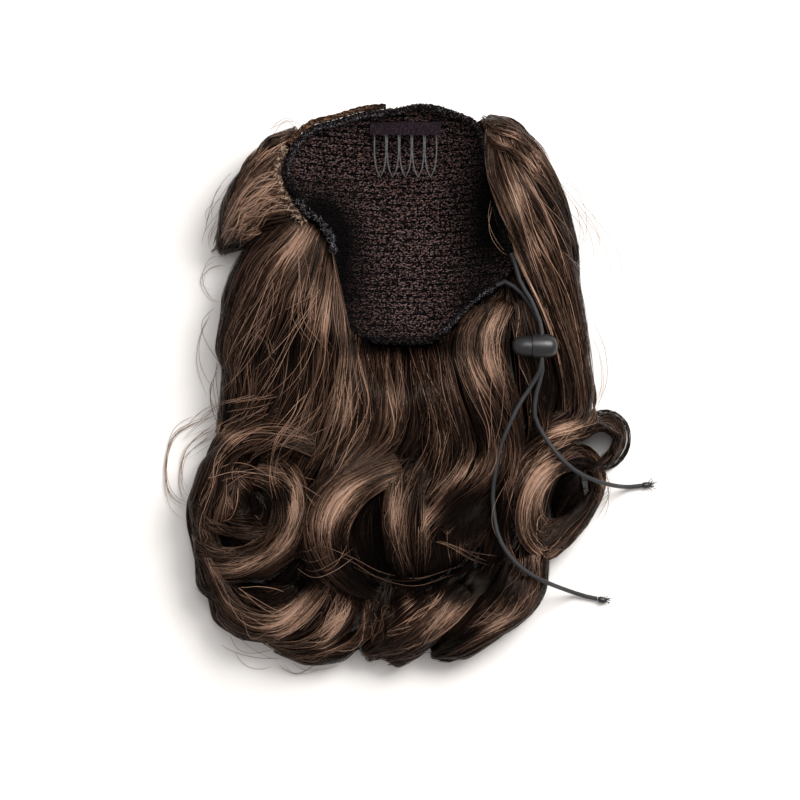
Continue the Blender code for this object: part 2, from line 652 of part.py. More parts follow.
def cord_route(start_angle, heading, start, level, end):
    """Cord from the casing's end over the given points, straight through the lock, and on to its tip."""
    radius = CASING_DIAMETER / 2
    seat = rim_point(start_angle, -NET_WALL / 2, radius + GAP)
    next_seat = rim_point(start_angle + heading, -NET_WALL / 2, radius + GAP)
    along = (next_seat - seat).normalized()
    window = lock_mouth() + Vector((WINDOW_INSET, 0, level * (CORD_DIAMETER + GAP) / 2))
    half = Vector((0, BARREL_DIAMETER / 2, 0))
    before = [seat + along * 2 * GAP, seat + along * CORD_DIAMETER * 2] + [Vector(p) for p in start]
    before += [window + half * 1.5, window + half * 1.1]
    after = [window - half * 1.1, window - half * 1.5] + [Vector(p) for p in end]
    return smooth_route(before, CORD_STEP) + smooth_route(after, CORD_STEP)


def cord(name, points, surface):
    data = bpy.data.curves.new(name, "CURVE")
    data.dimensions = "3D"
    data.bevel_depth = CORD_DIAMETER / 2
    data.bevel_resolution = 2
    data.render_resolution_u = 0
    data.use_fill_caps = True
    line = data.splines.new("POLY")
    line.points.add(len(points) - 1)
    for place, point in zip(line.points, points):
        place.co = (*point, 1.0)
    data.materials.append(surface)
    made = bpy.data.objects.new(name, data)
    bpy.context.scene.collection.objects.link(made)
    return points


def cord_tip(name, points, surface):
    """Melted bead at the end of a cord, in line with its last stretch."""
    along = (points[-1] - points[-2]).normalized()
    radius = TIP_DIAMETER / 2
    rows = [(0.0, 0.62), (0.2, 0.92), (0.45, 1.0), (0.75, 0.84), (0.93, 0.52), (1.0, 0.25)]
    made = turned(name, [(t * TIP_LENGTH, radius * r) for t, r in rows], surface, 8)
    turn = along.to_track_quat("X", "Z").to_matrix().to_4x4()
    seat = points[-1] + along * GAP
    seat.z = max(seat.z, radius + GAP)
    made.data.transform(Matrix.Translation(seat) @ turn)
    return smooth(made)


def lock_of_hair(name, row, index, grow=0.0):
    """A ridge with a round crown that stands on the surface, blunt and narrower at its ends."""
    angle, width, crown, shares = row
    route = [hair_place(share) for share in shares]
    rise = LOCK_CROWN * crown
    if angle is not None:
        root = rim_point(angle, 0.0, -rise - ROOT_DROP)
        route = [root] + route
    line = smooth_route(route, LOCK_STEP)
    half = LOCK_WIDTH / 2 * width
    count = len(line)
    rings = []
    for i, point in enumerate(line):
        along = line[min(i + 1, count - 1)] - line[max(i - 1, 0)]
        along.z = 0
        along.normalize()
        side = Vector((along.y, -along.x, 0))
        share = 1.0
        if i == count - 1:
            share = 0.55
            point = point + along * grow
        if i == 0:
            share = 1.0 if angle is not None else 0.55
            point = point - along * grow
        a = half * share + grow
        b = rise * (0.6 + 0.4 * share) + grow
        foot = -ROOT_DROP - index * 0.0002
        ring = [Vector((point.x, point.y, foot)) + side * a * 0.94]
        for k in range(5):
            turn = math.pi * k / 4
            ring.append(point + side * a * math.cos(turn) + Vector((0, 0, b * math.sin(turn))))
        ring.append(Vector((point.x, point.y, foot)) - side * a * 0.94)
        rings.append(ring)
    return loft(name, rings)


def largest_piece(made):
    """Drops the small offcuts that a cut leaves beside the main body."""
    work = bmesh.new()
    work.from_mesh(made.data)
    left = set(work.verts)
    pieces = []
    while left:
        stack = [left.pop()]
        piece = set(stack)
        while stack:
            for edge in stack.pop().link_edges:
                for vert in edge.verts:
                    if vert in left:
                        left.discard(vert)
                        piece.add(vert)
                        stack.append(vert)
        pieces.append(piece)
    pieces.sort(key=len)
    for piece in pieces[:-1]:
        bmesh.ops.delete(work, geom=list(piece), context="VERTS")
    work.to_mesh(made.data)
    work.free()


def hair_group(name, rows, first, cutters, surface):
    """Fuses a group's locks, then cuts it level with the surface and clear of what is already there."""
    made = lock_of_hair(name, rows[0], first)
    for i, row in enumerate(rows[1:]):
        join(made, lock_of_hair("lock", row, first + i + 1), "UNION")
    reach = max(HAIR_WIDTH, HAIR_LENGTH)
    join(made, box("cutter_floor", (-reach, -reach, 0), (reach, reach, 3 * PILE_HEIGHT)), "INTERSECT")
    for cutter in cutters:
        copy = mesh_object("cutter", [], [])
        copy.data = cutter.data.copy()
        join(made, copy, "DIFFERENCE")
    largest_piece(made)
    made.data.materials.clear()
    made.data.materials.append(surface)
    return smooth(made, 50)


def grown_group(name, rows, first):
    """The same locks grown by the clearance, fused into one cutter."""
    made = lock_of_hair(name, rows[0], first, HAIR_GAP)
    for i, row in enumerate(rows[1:]):
        join(made, lock_of_hair("grown", row, first + i + 1, HAIR_GAP), "UNION")
    return made


def hair(surface):
    """Groups in the order in which they lie on each other, the uppermost first."""
    groups = [
        ("hair_curl_right", CURL_RIGHT), ("hair_curl_centre", CURL_CENTRE), ("hair_fall_right", FALL_RIGHT),
        ("hair_fall_centre", FALL_CENTRE), ("hair_wing_left", WING_LEFT), ("hair_fall_left", FALL_LEFT),
        ("hair_curl_left", CURL_LEFT), ("hair_ends_right", ENDS_RIGHT), ("hair_ends_left", ENDS_LEFT),
    ]
    cutters = [cap_keepout(), weft_band_top(None, HAIR_GAP), weft_band_left(None, HAIR_GAP)]
    first = 0
    for name, rows in groups:
        hair_group(name, rows, first, cutters, surface)
        cutters.append(grown_group("cutter_" + name, rows, first))
        first += len(rows)
    for cutter in cutters:
        bpy.data.objects.remove(cutter, do_unlink=True)


def main():
    clear_scene()
    hair_colour = material("hair", (0.052, 0.030, 0.022), 0.42)
    net_colour = material("net_yarn", (0.030, 0.022, 0.024), 0.85)
    band_colour = material("weft_thread", (0.26, 0.15, 0.09), 0.80)
    wire_colour = material("comb_wire", (0.30, 0.30, 0.31), 0.35, 1.0)
    tape_colour = material("comb_tape", (0.055, 0.035, 0.045), 0.80)
    cord_colour = material("cord", (0.014, 0.013, 0.016), 0.70)
    lock_colour = material("lock_plastic", (0.020, 0.019, 0.021), 0.42)
    net_cap(net_colour)
    rim_casing(net_colour)
    weft_band_top(band_colour)
    weft_band_left(band_colour)
    comb(wire_colour)
    comb_tape(tape_colour)
    hair_bed(hair_colour)
    hair(hair_colour)
    lock_barrel(lock_colour)
    lock_button(lock_colour)
    upper = cord_route(CASING_START, -2, CORD_UPPER_START, 1, CORD_UPPER_END)
    lower = cord_route(CASING_END, 2, CORD_LOWER_START, -1, CORD_LOWER_END)
    cord_tip("cord_tip_upper", cord("cord_upper", upper, cord_colour), cord_colour)
    cord_tip("cord_tip_lower", cord("cord_lower", lower, cord_colour), cord_colour)


main()
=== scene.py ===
"""Looks of the drawstring ponytail hairpiece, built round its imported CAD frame.

Places on the object are given as pixels of the 800 x 800 photograph and turned into metres by place().
Hair strands lie on the CAD's own hair solids: their height is read from those solids.
"""
import copy
import math

import bmesh
import bpy
import numpy as np
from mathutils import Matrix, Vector
from mathutils.bvhtree import BVHTree


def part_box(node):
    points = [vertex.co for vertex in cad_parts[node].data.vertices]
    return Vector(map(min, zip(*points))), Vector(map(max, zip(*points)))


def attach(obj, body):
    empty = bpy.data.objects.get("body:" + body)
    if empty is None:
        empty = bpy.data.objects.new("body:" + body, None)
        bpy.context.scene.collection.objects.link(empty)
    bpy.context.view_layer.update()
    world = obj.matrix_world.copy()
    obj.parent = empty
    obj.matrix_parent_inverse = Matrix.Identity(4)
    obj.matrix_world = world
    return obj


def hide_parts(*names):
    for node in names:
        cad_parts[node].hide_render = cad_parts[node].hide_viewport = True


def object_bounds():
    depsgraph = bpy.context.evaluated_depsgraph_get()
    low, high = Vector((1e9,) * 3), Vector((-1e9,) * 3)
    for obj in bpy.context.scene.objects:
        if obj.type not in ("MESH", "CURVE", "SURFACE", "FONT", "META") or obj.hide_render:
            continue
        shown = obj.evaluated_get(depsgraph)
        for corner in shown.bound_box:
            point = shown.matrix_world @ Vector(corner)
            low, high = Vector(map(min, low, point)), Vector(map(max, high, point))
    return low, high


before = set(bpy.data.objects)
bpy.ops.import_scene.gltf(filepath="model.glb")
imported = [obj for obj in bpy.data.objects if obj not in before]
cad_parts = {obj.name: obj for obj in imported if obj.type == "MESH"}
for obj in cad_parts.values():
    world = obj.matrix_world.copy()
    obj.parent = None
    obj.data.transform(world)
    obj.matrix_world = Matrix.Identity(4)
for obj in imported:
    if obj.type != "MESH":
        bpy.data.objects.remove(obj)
cad_low, cad_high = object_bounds()

# The photograph's scale and the pixel that shows the frame's origin
PIXEL = 0.00057
PHOTO_ORIGIN = (408.5, 388.5)
IMAGE_SIDE = 800
CAMERA_DISTANCE = 2.2
CAMERA_LEVEL = 0.03
SENSOR_WIDTH = 36
CLIP_NEAR = 0.1
CLIP_FAR = 20

# Stage: floor's half side and drop, world colour and strength, lights as place, size, power and colour
FLOOR_HALF = 4.0
FLOOR_DROP = 0.0002
WORLD_COLOUR = (1.0, 0.955, 0.93)
WORLD_STRENGTH = 0.48
LIGHTS = {
    "key": ((0.75, 0.70, 1.25), 0.85, 26.0, (1.0, 0.985, 0.96)),
    "top": ((0.10, 0.55, 1.6), 0.9, 8.0, (1.0, 0.99, 0.98)),
}

# Small values shared by the functions below: a guard against a zero length, the reach of a random turn in
# radians, the height that rays drop from, and the least height of a strand's middle line
TINY = 1e-9
ANY_TURN = 6.3
RAY_TOP = 0.2
LOWEST = 0.0006

# Net cap sizes, the same as the CAD's
CAP_WIDTH = 0.1334
CAP_LENGTH = 0.1357
CAP_CENTRE = (-0.00498, 0.09367)
RIM_HEIGHT = 0.046
NET_WALL = 0.002
CASING_DIAMETER = 0.0044
CASING_START = -14
CASING_END = 327
GAP = 0.0003

# Knitted net
NET_PITCH = 0.0033
NET_STITCH = 0.0060
NET_TWIST = 0.0026
NET_YARN = 0.00060
EYELET = 0.0011
EYELET_RISE = 0.00075
NET_SAG = 0.0045
NET_EDGE = 0.985
NET_START = 0.004
NET_WAVES = ((0.00030, 150), (0.00012, 410))
TWIST_SIDE = 0.00024
TWIST_BOB = 0.00022
YARN_SIT = 0.75
FUZZ_COUNT = 1500
FUZZ_RADIUS = 0.00008
FUZZ_BOW = 0.0005
FUZZ_LENGTH = (0.0008, 0.0024)
FUZZ_LIFT = 0.0008

# Hem and weft bands: shares of the hem's radius, its stitches' turns, half lengths and slant, and yarns' sway
HEM_SHARE = 0.84
STITCH_SHARE = 0.90
STITCH_STEP = 0.5
STITCH_RADIUS = 0.00036
STITCH_TURN = (0.2, 2.9)
STITCH_HALF = (0.35, 0.9)
STITCH_SLANT = 1.3
TAIL_DROP = 0.0007
CROWN_LIFT = 0.0004
YARN_SWAY = 0.00018
YARN_SWAY_RATE = 1.7
YARN_JITTER = 0.00008

# Drawstring, the same as the CAD's
CORD_DIAMETER = 0.0025
CORD_STEP = 0.0066
LOCK_CENTRE = (0.0712, 0.0239, 0.0533)
BARREL_LENGTH = 0.0143
BARREL_DIAMETER = 0.0142
BUTTON_LENGTH = 0.0114
WINDOW_INSET = 0.0054
LOCK_SHARP = 0.9
BEAD_LENGTH = 0.0052
FRAY_COUNT = 16
FRAY_RADIUS = 0.00016
FRAY_JITTER = 0.0005
FRAY_SPREAD = 0.5

# Hair
STRAND_RADIUS = 0.00019
RIBBON_ROLL = 0.35
WILD_SHARE = 0.08
WISPS = 8
WISP_SHARE = 0.3
WISP_PULL = 0.35
RIBBON_ROUND = 0.85
SKIN_STEP = 0.0028
FLOW_STEP = 0.002
GRID_MARGIN = 0.03
STRAY_RADIUS = 0.00011
STRAY_BEND = 0.008
ROOM_SHARE = 0.03
ROOM = 0.009
GRID_STEP = 0.0015
SOFT_REACH = 0.0030
CORE_SHRINK = 0.0020
CORE_LIFT = 0.0003
CORE_WELD = 0.00002
FINE_ROWS = 64
STRAY_TONE = 0.70
STRAY_ROWS = 22
SKIN_BACK = 5
SKIN_AHEAD = 9
SKIN_DEPTH = -0.0016
SKIN_TOP = 0.0002
SKIN_BOW = 0.0007
SKIN_UNDER = -0.3
SKIN_PROUD = 0.003
SKIN_STEEP = 0.35
SKIN_FALL = 0.6
SKIN_HOLD = 0.6
SKIN_FLOOR = 0.0012
BED_ROWS = 10
BED_STRANDS = 800
BED_CLUMPS = 50
BED_ANGLES = range(16, 178, 9)
BED_LEAN = 0.012
BED_DROP = ((0.0, 0.0), (0.2, -0.0005), (0.5, -0.001), (0.8, -0.002), (1.0, -0.004))
THIN_STRANDS = 110
THIN_CLUMPS = 5
TAPER_START = (8, 0.5)
TAPER_END = (3.5, 0.25)

# How strands gather in a sheet, as shares of a clump's width, and how they rise, in mm
CLUMP_JITTER = 0.3
STRAND_SPREAD = 0.46
SPREAD_EDGE = 1.2
DEPTH_POWER = 1.4
END_POWER = 2.2
SWAY_FINE = 0.35
SWAY_BROAD = 0.9
CLUMP_RISE = (-1.1, 1.5)
WISP_RISE = 0.35
CROWN_RISE = 1.1

# How tone varies: between clumps, between wisps and between strands; painted shade with depth; painted light
# on each clump's crown and painted shade at its edges; and loose strands
CLUMP_TONE = 0.05
WISP_TONE = 0.10
STRAND_TONE = 0.06
DEPTH_PAINTED_SHADE = 0.20
CROWN_PAINTED_LIGHT_AND_SHADE = 0.04
WILD_TONE = 0.20

# Rim of the net: angle in degrees, reach as a share of the cap's half size, height as % of the rim height
RIM = [
    (11, 0.85, 96), (28, 0.88, 96), (41, 0.97, 96), (52, 1.05, 96), (63, 1.03, 96), (78, 1.00, 98),
    (93, 0.94, 98), (107, 0.96, 98), (122, 1.00, 98), (134, 1.09, 100), (146, 1.10, 102), (156, 1.07, 102),
    (165, 0.95, 98), (173, 0.83, 96), (182, 0.67, 93), (200, 0.62, 91), (223, 0.73, 87), (240, 0.94, 78),
    (254, 1.01, 72), (270, 1.00, 70), (286, 1.02, 70), (300, 0.95, 72), (316, 0.92, 76), (329, 1.00, 82),
    (336, 1.07, 86), (343, 1.02, 88), (354, 0.90, 93),
]

# Free stretches of the drawstring, points in metres, the same as the CAD's
CORD_UPPER_START = [(0.0600, 0.0720, 0.0465), (0.0636, 0.0592, 0.0485), (0.0690, 0.0505, 0.0512)]
CORD_UPPER_END = [
    (0.0732, 0.0085, 0.0520), (0.0690, 0.0010, 0.0490), (0.0625, -0.0090, 0.0490), (0.0567, -0.0210, 0.0490),
    (0.0520, -0.0330, 0.0472), (0.0492, -0.0470, 0.0458), (0.0478, -0.0600, 0.0415),
    (0.0490, -0.0750, 0.0408),
    (0.0515, -0.0850, 0.0418), (0.0560, -0.0930, 0.0412), (0.0620, -0.1000, 0.0398),
    (0.0700, -0.1060, 0.0360),
    (0.0785, -0.1103, 0.0332), (0.0880, -0.1146, 0.0160), (0.0970, -0.1182, 0.0035),
    (0.1030, -0.1200, 0.0023),
    (0.1090, -0.1213, 0.0023),
]
CORD_LOWER_START = [(0.0560, 0.0598, 0.0425), (0.0622, 0.0558, 0.0458), (0.0688, 0.0474, 0.0481)]
CORD_LOWER_END = [
    (0.0754, 0.0085, 0.0488), (0.0725, -0.0015, 0.0465), (0.0712, -0.0140, 0.0445), (0.0745, -0.0230, 0.0412),
    (0.0790, -0.0300, 0.0425), (0.0840, -0.0370, 0.0440), (0.0905, -0.0435, 0.0430),
    (0.0980, -0.0487, 0.0385),
    (0.1080, -0.0530, 0.0300), (0.1180, -0.0556, 0.0190), (0.1250, -0.0566, 0.0060),
    (0.1300, -0.0566, 0.0023),
    (0.1345, -0.0560, 0.0023),
]

# Sheets of hair: guide lines side by side, each with its points as pixel x, pixel y and lift in mm
WING = [
    [(300, 129, 0), (286, 134, 0), (271, 142, 0), (256, 151, 0), (244, 163, 0), (235, 185, 0), (222, 214, 0),
     (212, 240, 0)],
    [(297, 139, 1), (283, 146, 1), (268, 157, 1), (253, 171, 1), (238, 193, 1), (224, 216, 1), (211, 243, 0)],
    [(289, 158, 2), (276, 166, 2), (261, 176, 2), (246, 189, 2), (233, 207, 2), (221, 229, 1), (211, 247, 0)],
    [(288, 180, 2), (275, 187, 2), (261, 195, 2), (246, 206, 2), (231, 223, 2), (220, 238, 1), (214, 248, 0)],
    [(292, 202, 1), (281, 205, 1), (268, 209, 1), (253, 217, 1), (239, 229, 1), (227, 243, 1), (221, 251, 0)],
    [(296, 214, 0), (284, 216, 0), (271, 220, 0), (257, 229, 0), (245, 240, 0), (236, 252, 0)],
]
WING_TIP = [
    [(248, 208, 2), (233, 224, 2), (220, 238, 1), (206, 248, 1)],
    [(252, 220, 2), (238, 233, 2), (225, 244, 1), (210, 253, 1)],
    [(262, 232, 1), (247, 242, 1), (234, 250, 0), (221, 257, 0)],
]
FALL_LEFT = [
    [(296, 218, 0), (276, 236, 0), (254, 256, 0), (237, 282, 0), (226, 312, 0), (217, 344, 0), (225, 378, 0),
     (234, 400, 0)],
    [(304, 219, 1), (287, 242, 1), (266, 268, 1), (248, 298, 1), (235, 328, 1), (228, 358, 1), (234, 386, 1),
     (228, 410, 0)],
    [(312, 223, 1), (299, 252, 1), (281, 282, 1), (265, 312, 1), (254, 342, 1), (248, 372, 1), (246, 400, 0),
     (230, 424, 0)],
    [(320, 230, 1), (309, 265, 1), (296, 298, 1), (283, 330, 1), (278, 360, 1), (270, 388, 0), (257, 412, 0),
     (238, 436, 0)],
    [(327, 240, 1), (320, 278, 2), (311, 313, 2), (303, 346, 1), (299, 378, 1), (289, 406, 1), (272, 430, 0),
     (248, 452, 0)],
    [(334, 256, 0), (331, 294, 2), (326, 330, 2), (321, 366, 1), (316, 398, 1), (306, 426, 1), (288, 450, 0),
     (266, 470, 0)],
    [(333, 258, 6), (338, 290, 6), (343, 324, 5), (342, 356, 2), (338, 390, 1), (331, 418, 1), (321, 446, 0),
     (308, 470, 0)],
    [(332, 248, 7), (339, 278, 7), (346, 314, 7), (350, 340, 5), (349, 372, 2), (345, 404, 1), (337, 434, 0),
     (322, 462, 0)],
]
FALL_TO_ROLL = [
    [(343, 322, 0), (345, 350, 1), (346, 385, 2), (343, 415, 1), (336, 440, 1), (326, 462, 1), (314, 488, 1)],
    [(356, 332, 0), (359, 362, 1), (361, 392, 2), (360, 418, 1), (354, 440, 1), (342, 460, 1), (322, 486, 1)],
    [(371, 338, 0), (374, 368, 1), (378, 398, 2), (377, 422, 1), (370, 442, 1), (354, 460, 1), (334, 484, 1)],
    [(387, 338, 0), (390, 368, 1), (393, 398, 2), (393, 420, 1), (387, 440, 1), (371, 456, 1), (350, 474, 1)],
    [(402, 340, 0), (405, 370, 1), (408, 400, 2), (408, 423, 1), (401, 441, 1), (386, 456, 1), (364, 472, 1)],
]
FALL_MIDDLE = [
    [(408, 342, 0), (414, 375, 1), (419, 400, 1), (423, 422, 1), (423, 446, 1), (416, 470, 1), (404, 498, 1)],
    [(422, 345, 0), (430, 375, 1), (437, 400, 1), (442, 422, 1), (444, 446, 1), (437, 470, 1), (420, 498, 1)],
    [(436, 342, 0), (444, 375, 1), (452, 400, 1), (459, 426, 1), (461, 450, 1), (450, 473, 1), (430, 502, 1)],
    [(449, 332, 0), (451, 360, 1), (457, 390, 1), (468, 421, 1), (474, 448, 1), (464, 471, 1), (440, 502, 1)],
]
FALL_SHEET = [
    [(463, 313, 0), (456, 330, 2), (454, 350, 3), (459, 375, 3), (467, 400, 2), (478, 428, 2), (483, 452, 2),
     (474, 475, 2), (450, 500, 1), (428, 522, 0)],
    [(476, 305, 0), (462, 328, 2), (459, 350, 3), (465, 375, 3), (477, 401, 2), (490, 430, 2), (495, 456, 2),
     (485, 481, 2), (460, 506, 1), (436, 528, 0)],
    [(489, 303, 0), (475, 326, 2), (471, 348, 3), (476, 373, 3), (488, 399, 2), (501, 429, 2), (505, 456, 2),
     (496, 485, 1), (474, 512, 0), (450, 536, -1)],
    [(501, 302, 0), (487, 327, 2), (485, 350, 3), (491, 373, 3), (502, 396, 2), (512, 426, 1), (515, 455, 1),
     (507, 490, 0), (490, 522, -1), (468, 548, -2)],
    [(513, 306, 0), (502, 328, 1), (499, 346, 2), (504, 366, 2), (514, 389, 1), (521, 416, 0), (522, 446, 0),
     (514, 482, 0), (503, 518, -1), (490, 548, -2)],
]
FALL_SIDE = [
    [(515, 302, 0), (516, 325, 0), (518, 350, 0), (522, 375, 0), (526, 400, 0), (530, 426, 0), (526, 448, 0)],
    [(525, 298, 0), (529, 322, 0), (533, 348, 0), (537, 374, 0), (541, 400, 0), (544, 424, 0), (538, 446, 0)],
    [(534, 304, 0), (541, 330, 0), (547, 356, 0), (551, 382, 0), (554, 404, 0), (554, 424, 0)],
]
BUNCH = [
    [(485, 128, 6), (485, 150, 7), (487, 176, 7), (494, 198, 7), (502, 220, 7), (510, 242, 7), (519, 264, 6),
     (529, 286, 4), (539, 308, 2), (548, 332, 1), (555, 356, 1), (560, 382, 0), (562, 410, 0)],
    [(489, 128, 5), (493, 152, 6), (498, 177, 6), (507, 201, 6), (516, 225, 6), (525, 248, 5), (535, 272, 4),
     (546, 297, 2), (556, 322, 1), (565, 347, 1), (572, 372, 1), (575, 396, 0), (574, 416, 0)],
    [(495, 127, 3), (503, 152, 4), (512, 177, 4), (523, 202, 4), (534, 227, 4), (546, 250, 3), (556, 274, 1),
     (564, 299, 1), (571, 325, 1), (578, 350, 1), (583, 374, 1), (587, 398, 0), (587, 414, 0)],
    [(502, 126, 0), (512, 150, 2), (523, 174, 3), (535, 199, 3), (547, 223, 3), (558, 245, 2), (567, 268, 1),
     (573, 292, 1), (578, 317, 1), (584, 342, 1), (589, 367, 1), (594, 391, 0)],
]
BUNCH_TOP = [
    [(500, 128, 2), (508, 146, 3), (520, 166, 4), (533, 188, 4), (546, 210, 4), (560, 232, 4), (574, 250, 3),
     (580, 262, 0)],
    [(505, 126, 2), (516, 144, 3), (530, 164, 4), (544, 186, 4), (557, 208, 4), (568, 228, 4), (577, 246, 3),
     (581, 258, 0)],
    [(510, 125, 1), (524, 141, 2), (539, 160, 3), (553, 181, 3), (564, 202, 3), (571, 220, 3), (576, 238, 2),
     (580, 250, 0)],
    [(514, 124, 0), (530, 139, 0), (545, 157, 0), (557, 177, 0), (566, 196, 0), (571, 214, 0), (573, 232, 0)],
]
ROLL = [
    [(394, 452, 0), (368, 460, 1), (341, 472, 1), (320, 491, 1), (309, 516, 1), (311, 545, 0), (325, 573, 0),
     (348, 592, -1), (375, 602, -2)],
    [(399, 460, 1), (373, 468, 2), (348, 481, 2), (331, 499, 2), (321, 523, 2), (323, 549, 1), (336, 573, 0),
     (356, 590, -1), (380, 600, -2)],
    [(403, 468, 1), (380, 477, 2), (359, 489, 2), (344, 506, 2), (334, 529, 1), (336, 553, 0), (347, 574, -1),
     (365, 589, -2), (386, 598, -3)],
    [(406, 477, 0), (387, 486, 1), (368, 498, 1), (355, 514, 0), (347, 535, -1), (349, 556, -2),
     (358, 575, -3),
     (373, 588, -4), (390, 596, -5)],
]
MIDDLE = [
    [(393, 466, 0), (386, 494, 2), (383, 520, 2), (385, 546, 1), (390, 570, 0), (397, 592, -2)],
    [(405, 470, 1), (397, 497, 2), (394, 523, 2), (396, 548, 1), (401, 573, 0), (407, 594, -2)],
    [(418, 474, 1), (408, 500, 2), (404, 525, 2), (406, 550, 1), (411, 574, 0), (416, 594, -2)],
]
SWEEP_LEFT = [
    [(318, 430, 0), (291, 418, 0), (262, 414, 0), (237, 420, 0), (217, 433, 0), (207, 451, 0), (202, 470, 0),
     (193, 487, 0), (186, 506, 0), (186, 528, 0), (193, 553, 0)],
    [(316, 443, 1), (290, 432, 2), (264, 428, 2), (240, 434, 2), (224, 446, 1), (215, 463, 1), (212, 482, 1),
     (204, 500, 1), (199, 520, 1), (203, 547, 0)],
    [(314, 456, 1), (292, 447, 2), (268, 443, 2), (248, 449, 1), (235, 461, 0), (229, 478, 0), (226, 496, 0),
     (221, 514, 0), (218, 532, 0), (224, 553, 0)],
]
RING_LEFT = [
    [(262, 452, 0), (284, 457, 1), (301, 473, 1), (309, 496, 1), (307, 520, 1), (297, 545, 1), (277, 565, 1),
     (250, 579, 0), (222, 585, 0)],
    [(258, 461, 1), (278, 467, 2), (292, 483, 3), (298, 504, 3), (295, 526, 3), (284, 547, 2), (264, 563, 2),
     (240, 573, 1), (212, 575, 0)],
    [(254, 473, 1), (270, 479, 2), (281, 493, 2), (285, 510, 2), (281, 528, 2), (270, 544, 2), (252, 556, 2),
     (228, 562, 1), (203, 561, 0)],
    [(250, 485, 0), (262, 491, 0), (270, 502, 0), (271, 516, 0), (266, 530, 1), (254, 541, 1), (236, 548, 1),
     (214, 548, 1), (195, 543, 0)],
]
LEVEL_LEFT = [
    [(292, 512, 0), (276, 524, 0), (254, 529, 0), (230, 526, 0), (209, 518, 0), (195, 505, 0)],
    [(296, 522, 0), (278, 534, 0), (255, 539, 0), (230, 537, 0), (208, 530, 0), (192, 518, 0)],
]
INNER_LEFT = [
    [(236, 450, -3), (226, 470, -4), (222, 490, -4), (230, 508, -4), (246, 514, -5)],
    [(262, 470, -4), (250, 480, -5), (240, 494, -5), (244, 508, -5), (256, 512, -5)],
]
ENDS_LEFT_TOP = [
    [(187, 541, 0), (193, 560, 0), (203, 581, 0), (208, 603, 0), (213, 622, 0), (232, 635, 0), (256, 641, 0),
     (281, 637, 0), (307, 620, 0), (326, 596, 0)],
    [(199, 548, 1), (207, 568, 1), (216, 588, 1), (223, 606, 1), (236, 620, 1), (257, 628, 2), (281, 623, 2),
     (303, 606, 1), (319, 586, 0)],
    [(212, 558, 1), (223, 577, 1), (233, 593, 1), (245, 605, 1), (263, 612, 2), (284, 607, 2), (302, 591, 1),
     (312, 574, 0)],
]
ENDS_LEFT_SECOND = [
    [(352, 600, 0), (346, 618, 1), (334, 634, 1), (316, 645, 0), (292, 648, 0), (268, 644, 0)],
    [(338, 592, 1), (330, 610, 2), (318, 628, 2), (300, 640, 1), (280, 642, 0)],
]
ENDS_LEFT_LOW = [
    [(366, 600, 0), (363, 622, 0), (351, 640, 0), (330, 651, 0), (306, 656, 0), (285, 652, 0), (268, 644, 0)],
    [(378, 616, 0), (370, 637, 0), (352, 650, 0), (330, 660, 0), (310, 665, 0), (290, 661, 0), (273, 650, 0)],
]
ENDS_CENTRE = [
    [(500, 560, -1), (487, 586, 0), (468, 608, 0), (448, 629, 0), (427, 649, 0), (405, 663, 0),
     (388, 669, 0)],
    [(486, 564, -1), (470, 588, 0), (450, 609, 1), (430, 630, 1), (411, 647, 1), (395, 658, 0),
     (383, 662, 0)],
    [(472, 570, -2), (454, 590, 0), (436, 609, 1), (417, 627, 1), (401, 641, 0), (386, 651, 0)],
    [(454, 578, -2), (437, 595, -1), (420, 610, 0), (404, 623, 0), (386, 634, 0)],
]
ENDS_RIGHT = [
    [(546, 550, 0), (548, 570, 0), (547, 590, 0), (538, 609, 0), (518, 627, 0), (494, 640, 0), (470, 654, 0),
     (448, 664, 0), (431, 660, 0)],
    [(538, 552, 1), (538, 574, 1), (535, 594, 1), (523, 611, 1), (503, 625, 1), (482, 637, 1), (461, 649, 1),
     (442, 659, 0)],
    [(526, 556, 1), (525, 578, 1), (519, 597, 1), (506, 611, 1), (488, 622, 0), (468, 636, -1),
     (450, 650, -2)],
    [(514, 560, 0), (509, 580, 0), (501, 596, 0), (487, 608, -1), (468, 622, -2)],
]
BAND_RIGHT = [
    [(596, 384, 0), (598, 402, 1), (589, 415, 2), (570, 422, 2), (548, 431, 1), (530, 443, 0), (515, 460, 0),
     (506, 485, 0)],
    [(592, 394, 0), (595, 412, 1), (585, 426, 2), (566, 434, 2), (546, 443, 1), (530, 456, 0), (518, 474, 0),
     (510, 498, 0)],
    [(598, 410, 0), (600, 426, 1), (588, 438, 2), (570, 444, 1), (552, 451, 0), (536, 463, 0), (525, 480, 0)],
]
RING_RIGHT = [
    [(560, 452, 0), (540, 461, 1), (525, 479, 2), (516, 505, 2), (517, 532, 1), (529, 552, 1), (548, 562, 0),
     (568, 549, 0), (588, 525, 0), (602, 503, 0), (608, 484, 0), (604, 466, 0)],
    [(566, 461, 0), (549, 469, 2), (535, 485, 3), (527, 507, 3), (527, 530, 2), (537, 547, 1), (550, 553, 0),
     (566, 539, 0), (584, 518, 0), (596, 499, 0), (601, 483, 0), (598, 468, 0)],
    [(572, 470, -1), (557, 476, 1), (545, 489, 2), (538, 507, 2), (537, 525, 1), (542, 540, 0)],
]
LOBE_RIGHT = [
    [(556, 460, 1), (568, 449, 2), (584, 445, 2), (598, 453, 1), (606, 467, 0), (608, 486, 0), (600, 503, 0)],
    [(551, 470, 1), (566, 460, 2), (583, 456, 2), (595, 463, 1), (601, 477, 0), (598, 494, 0)],
]
POST_RIGHT = [
    [(521, 452, -1), (507, 480, -1), (499, 510, -1), (500, 540, -1), (508, 564, -1)],
    [(532, 450, -1), (517, 478, -1), (508, 508, -1), (508, 538, -1), (517, 562, -1), (530, 582, -1)],
]

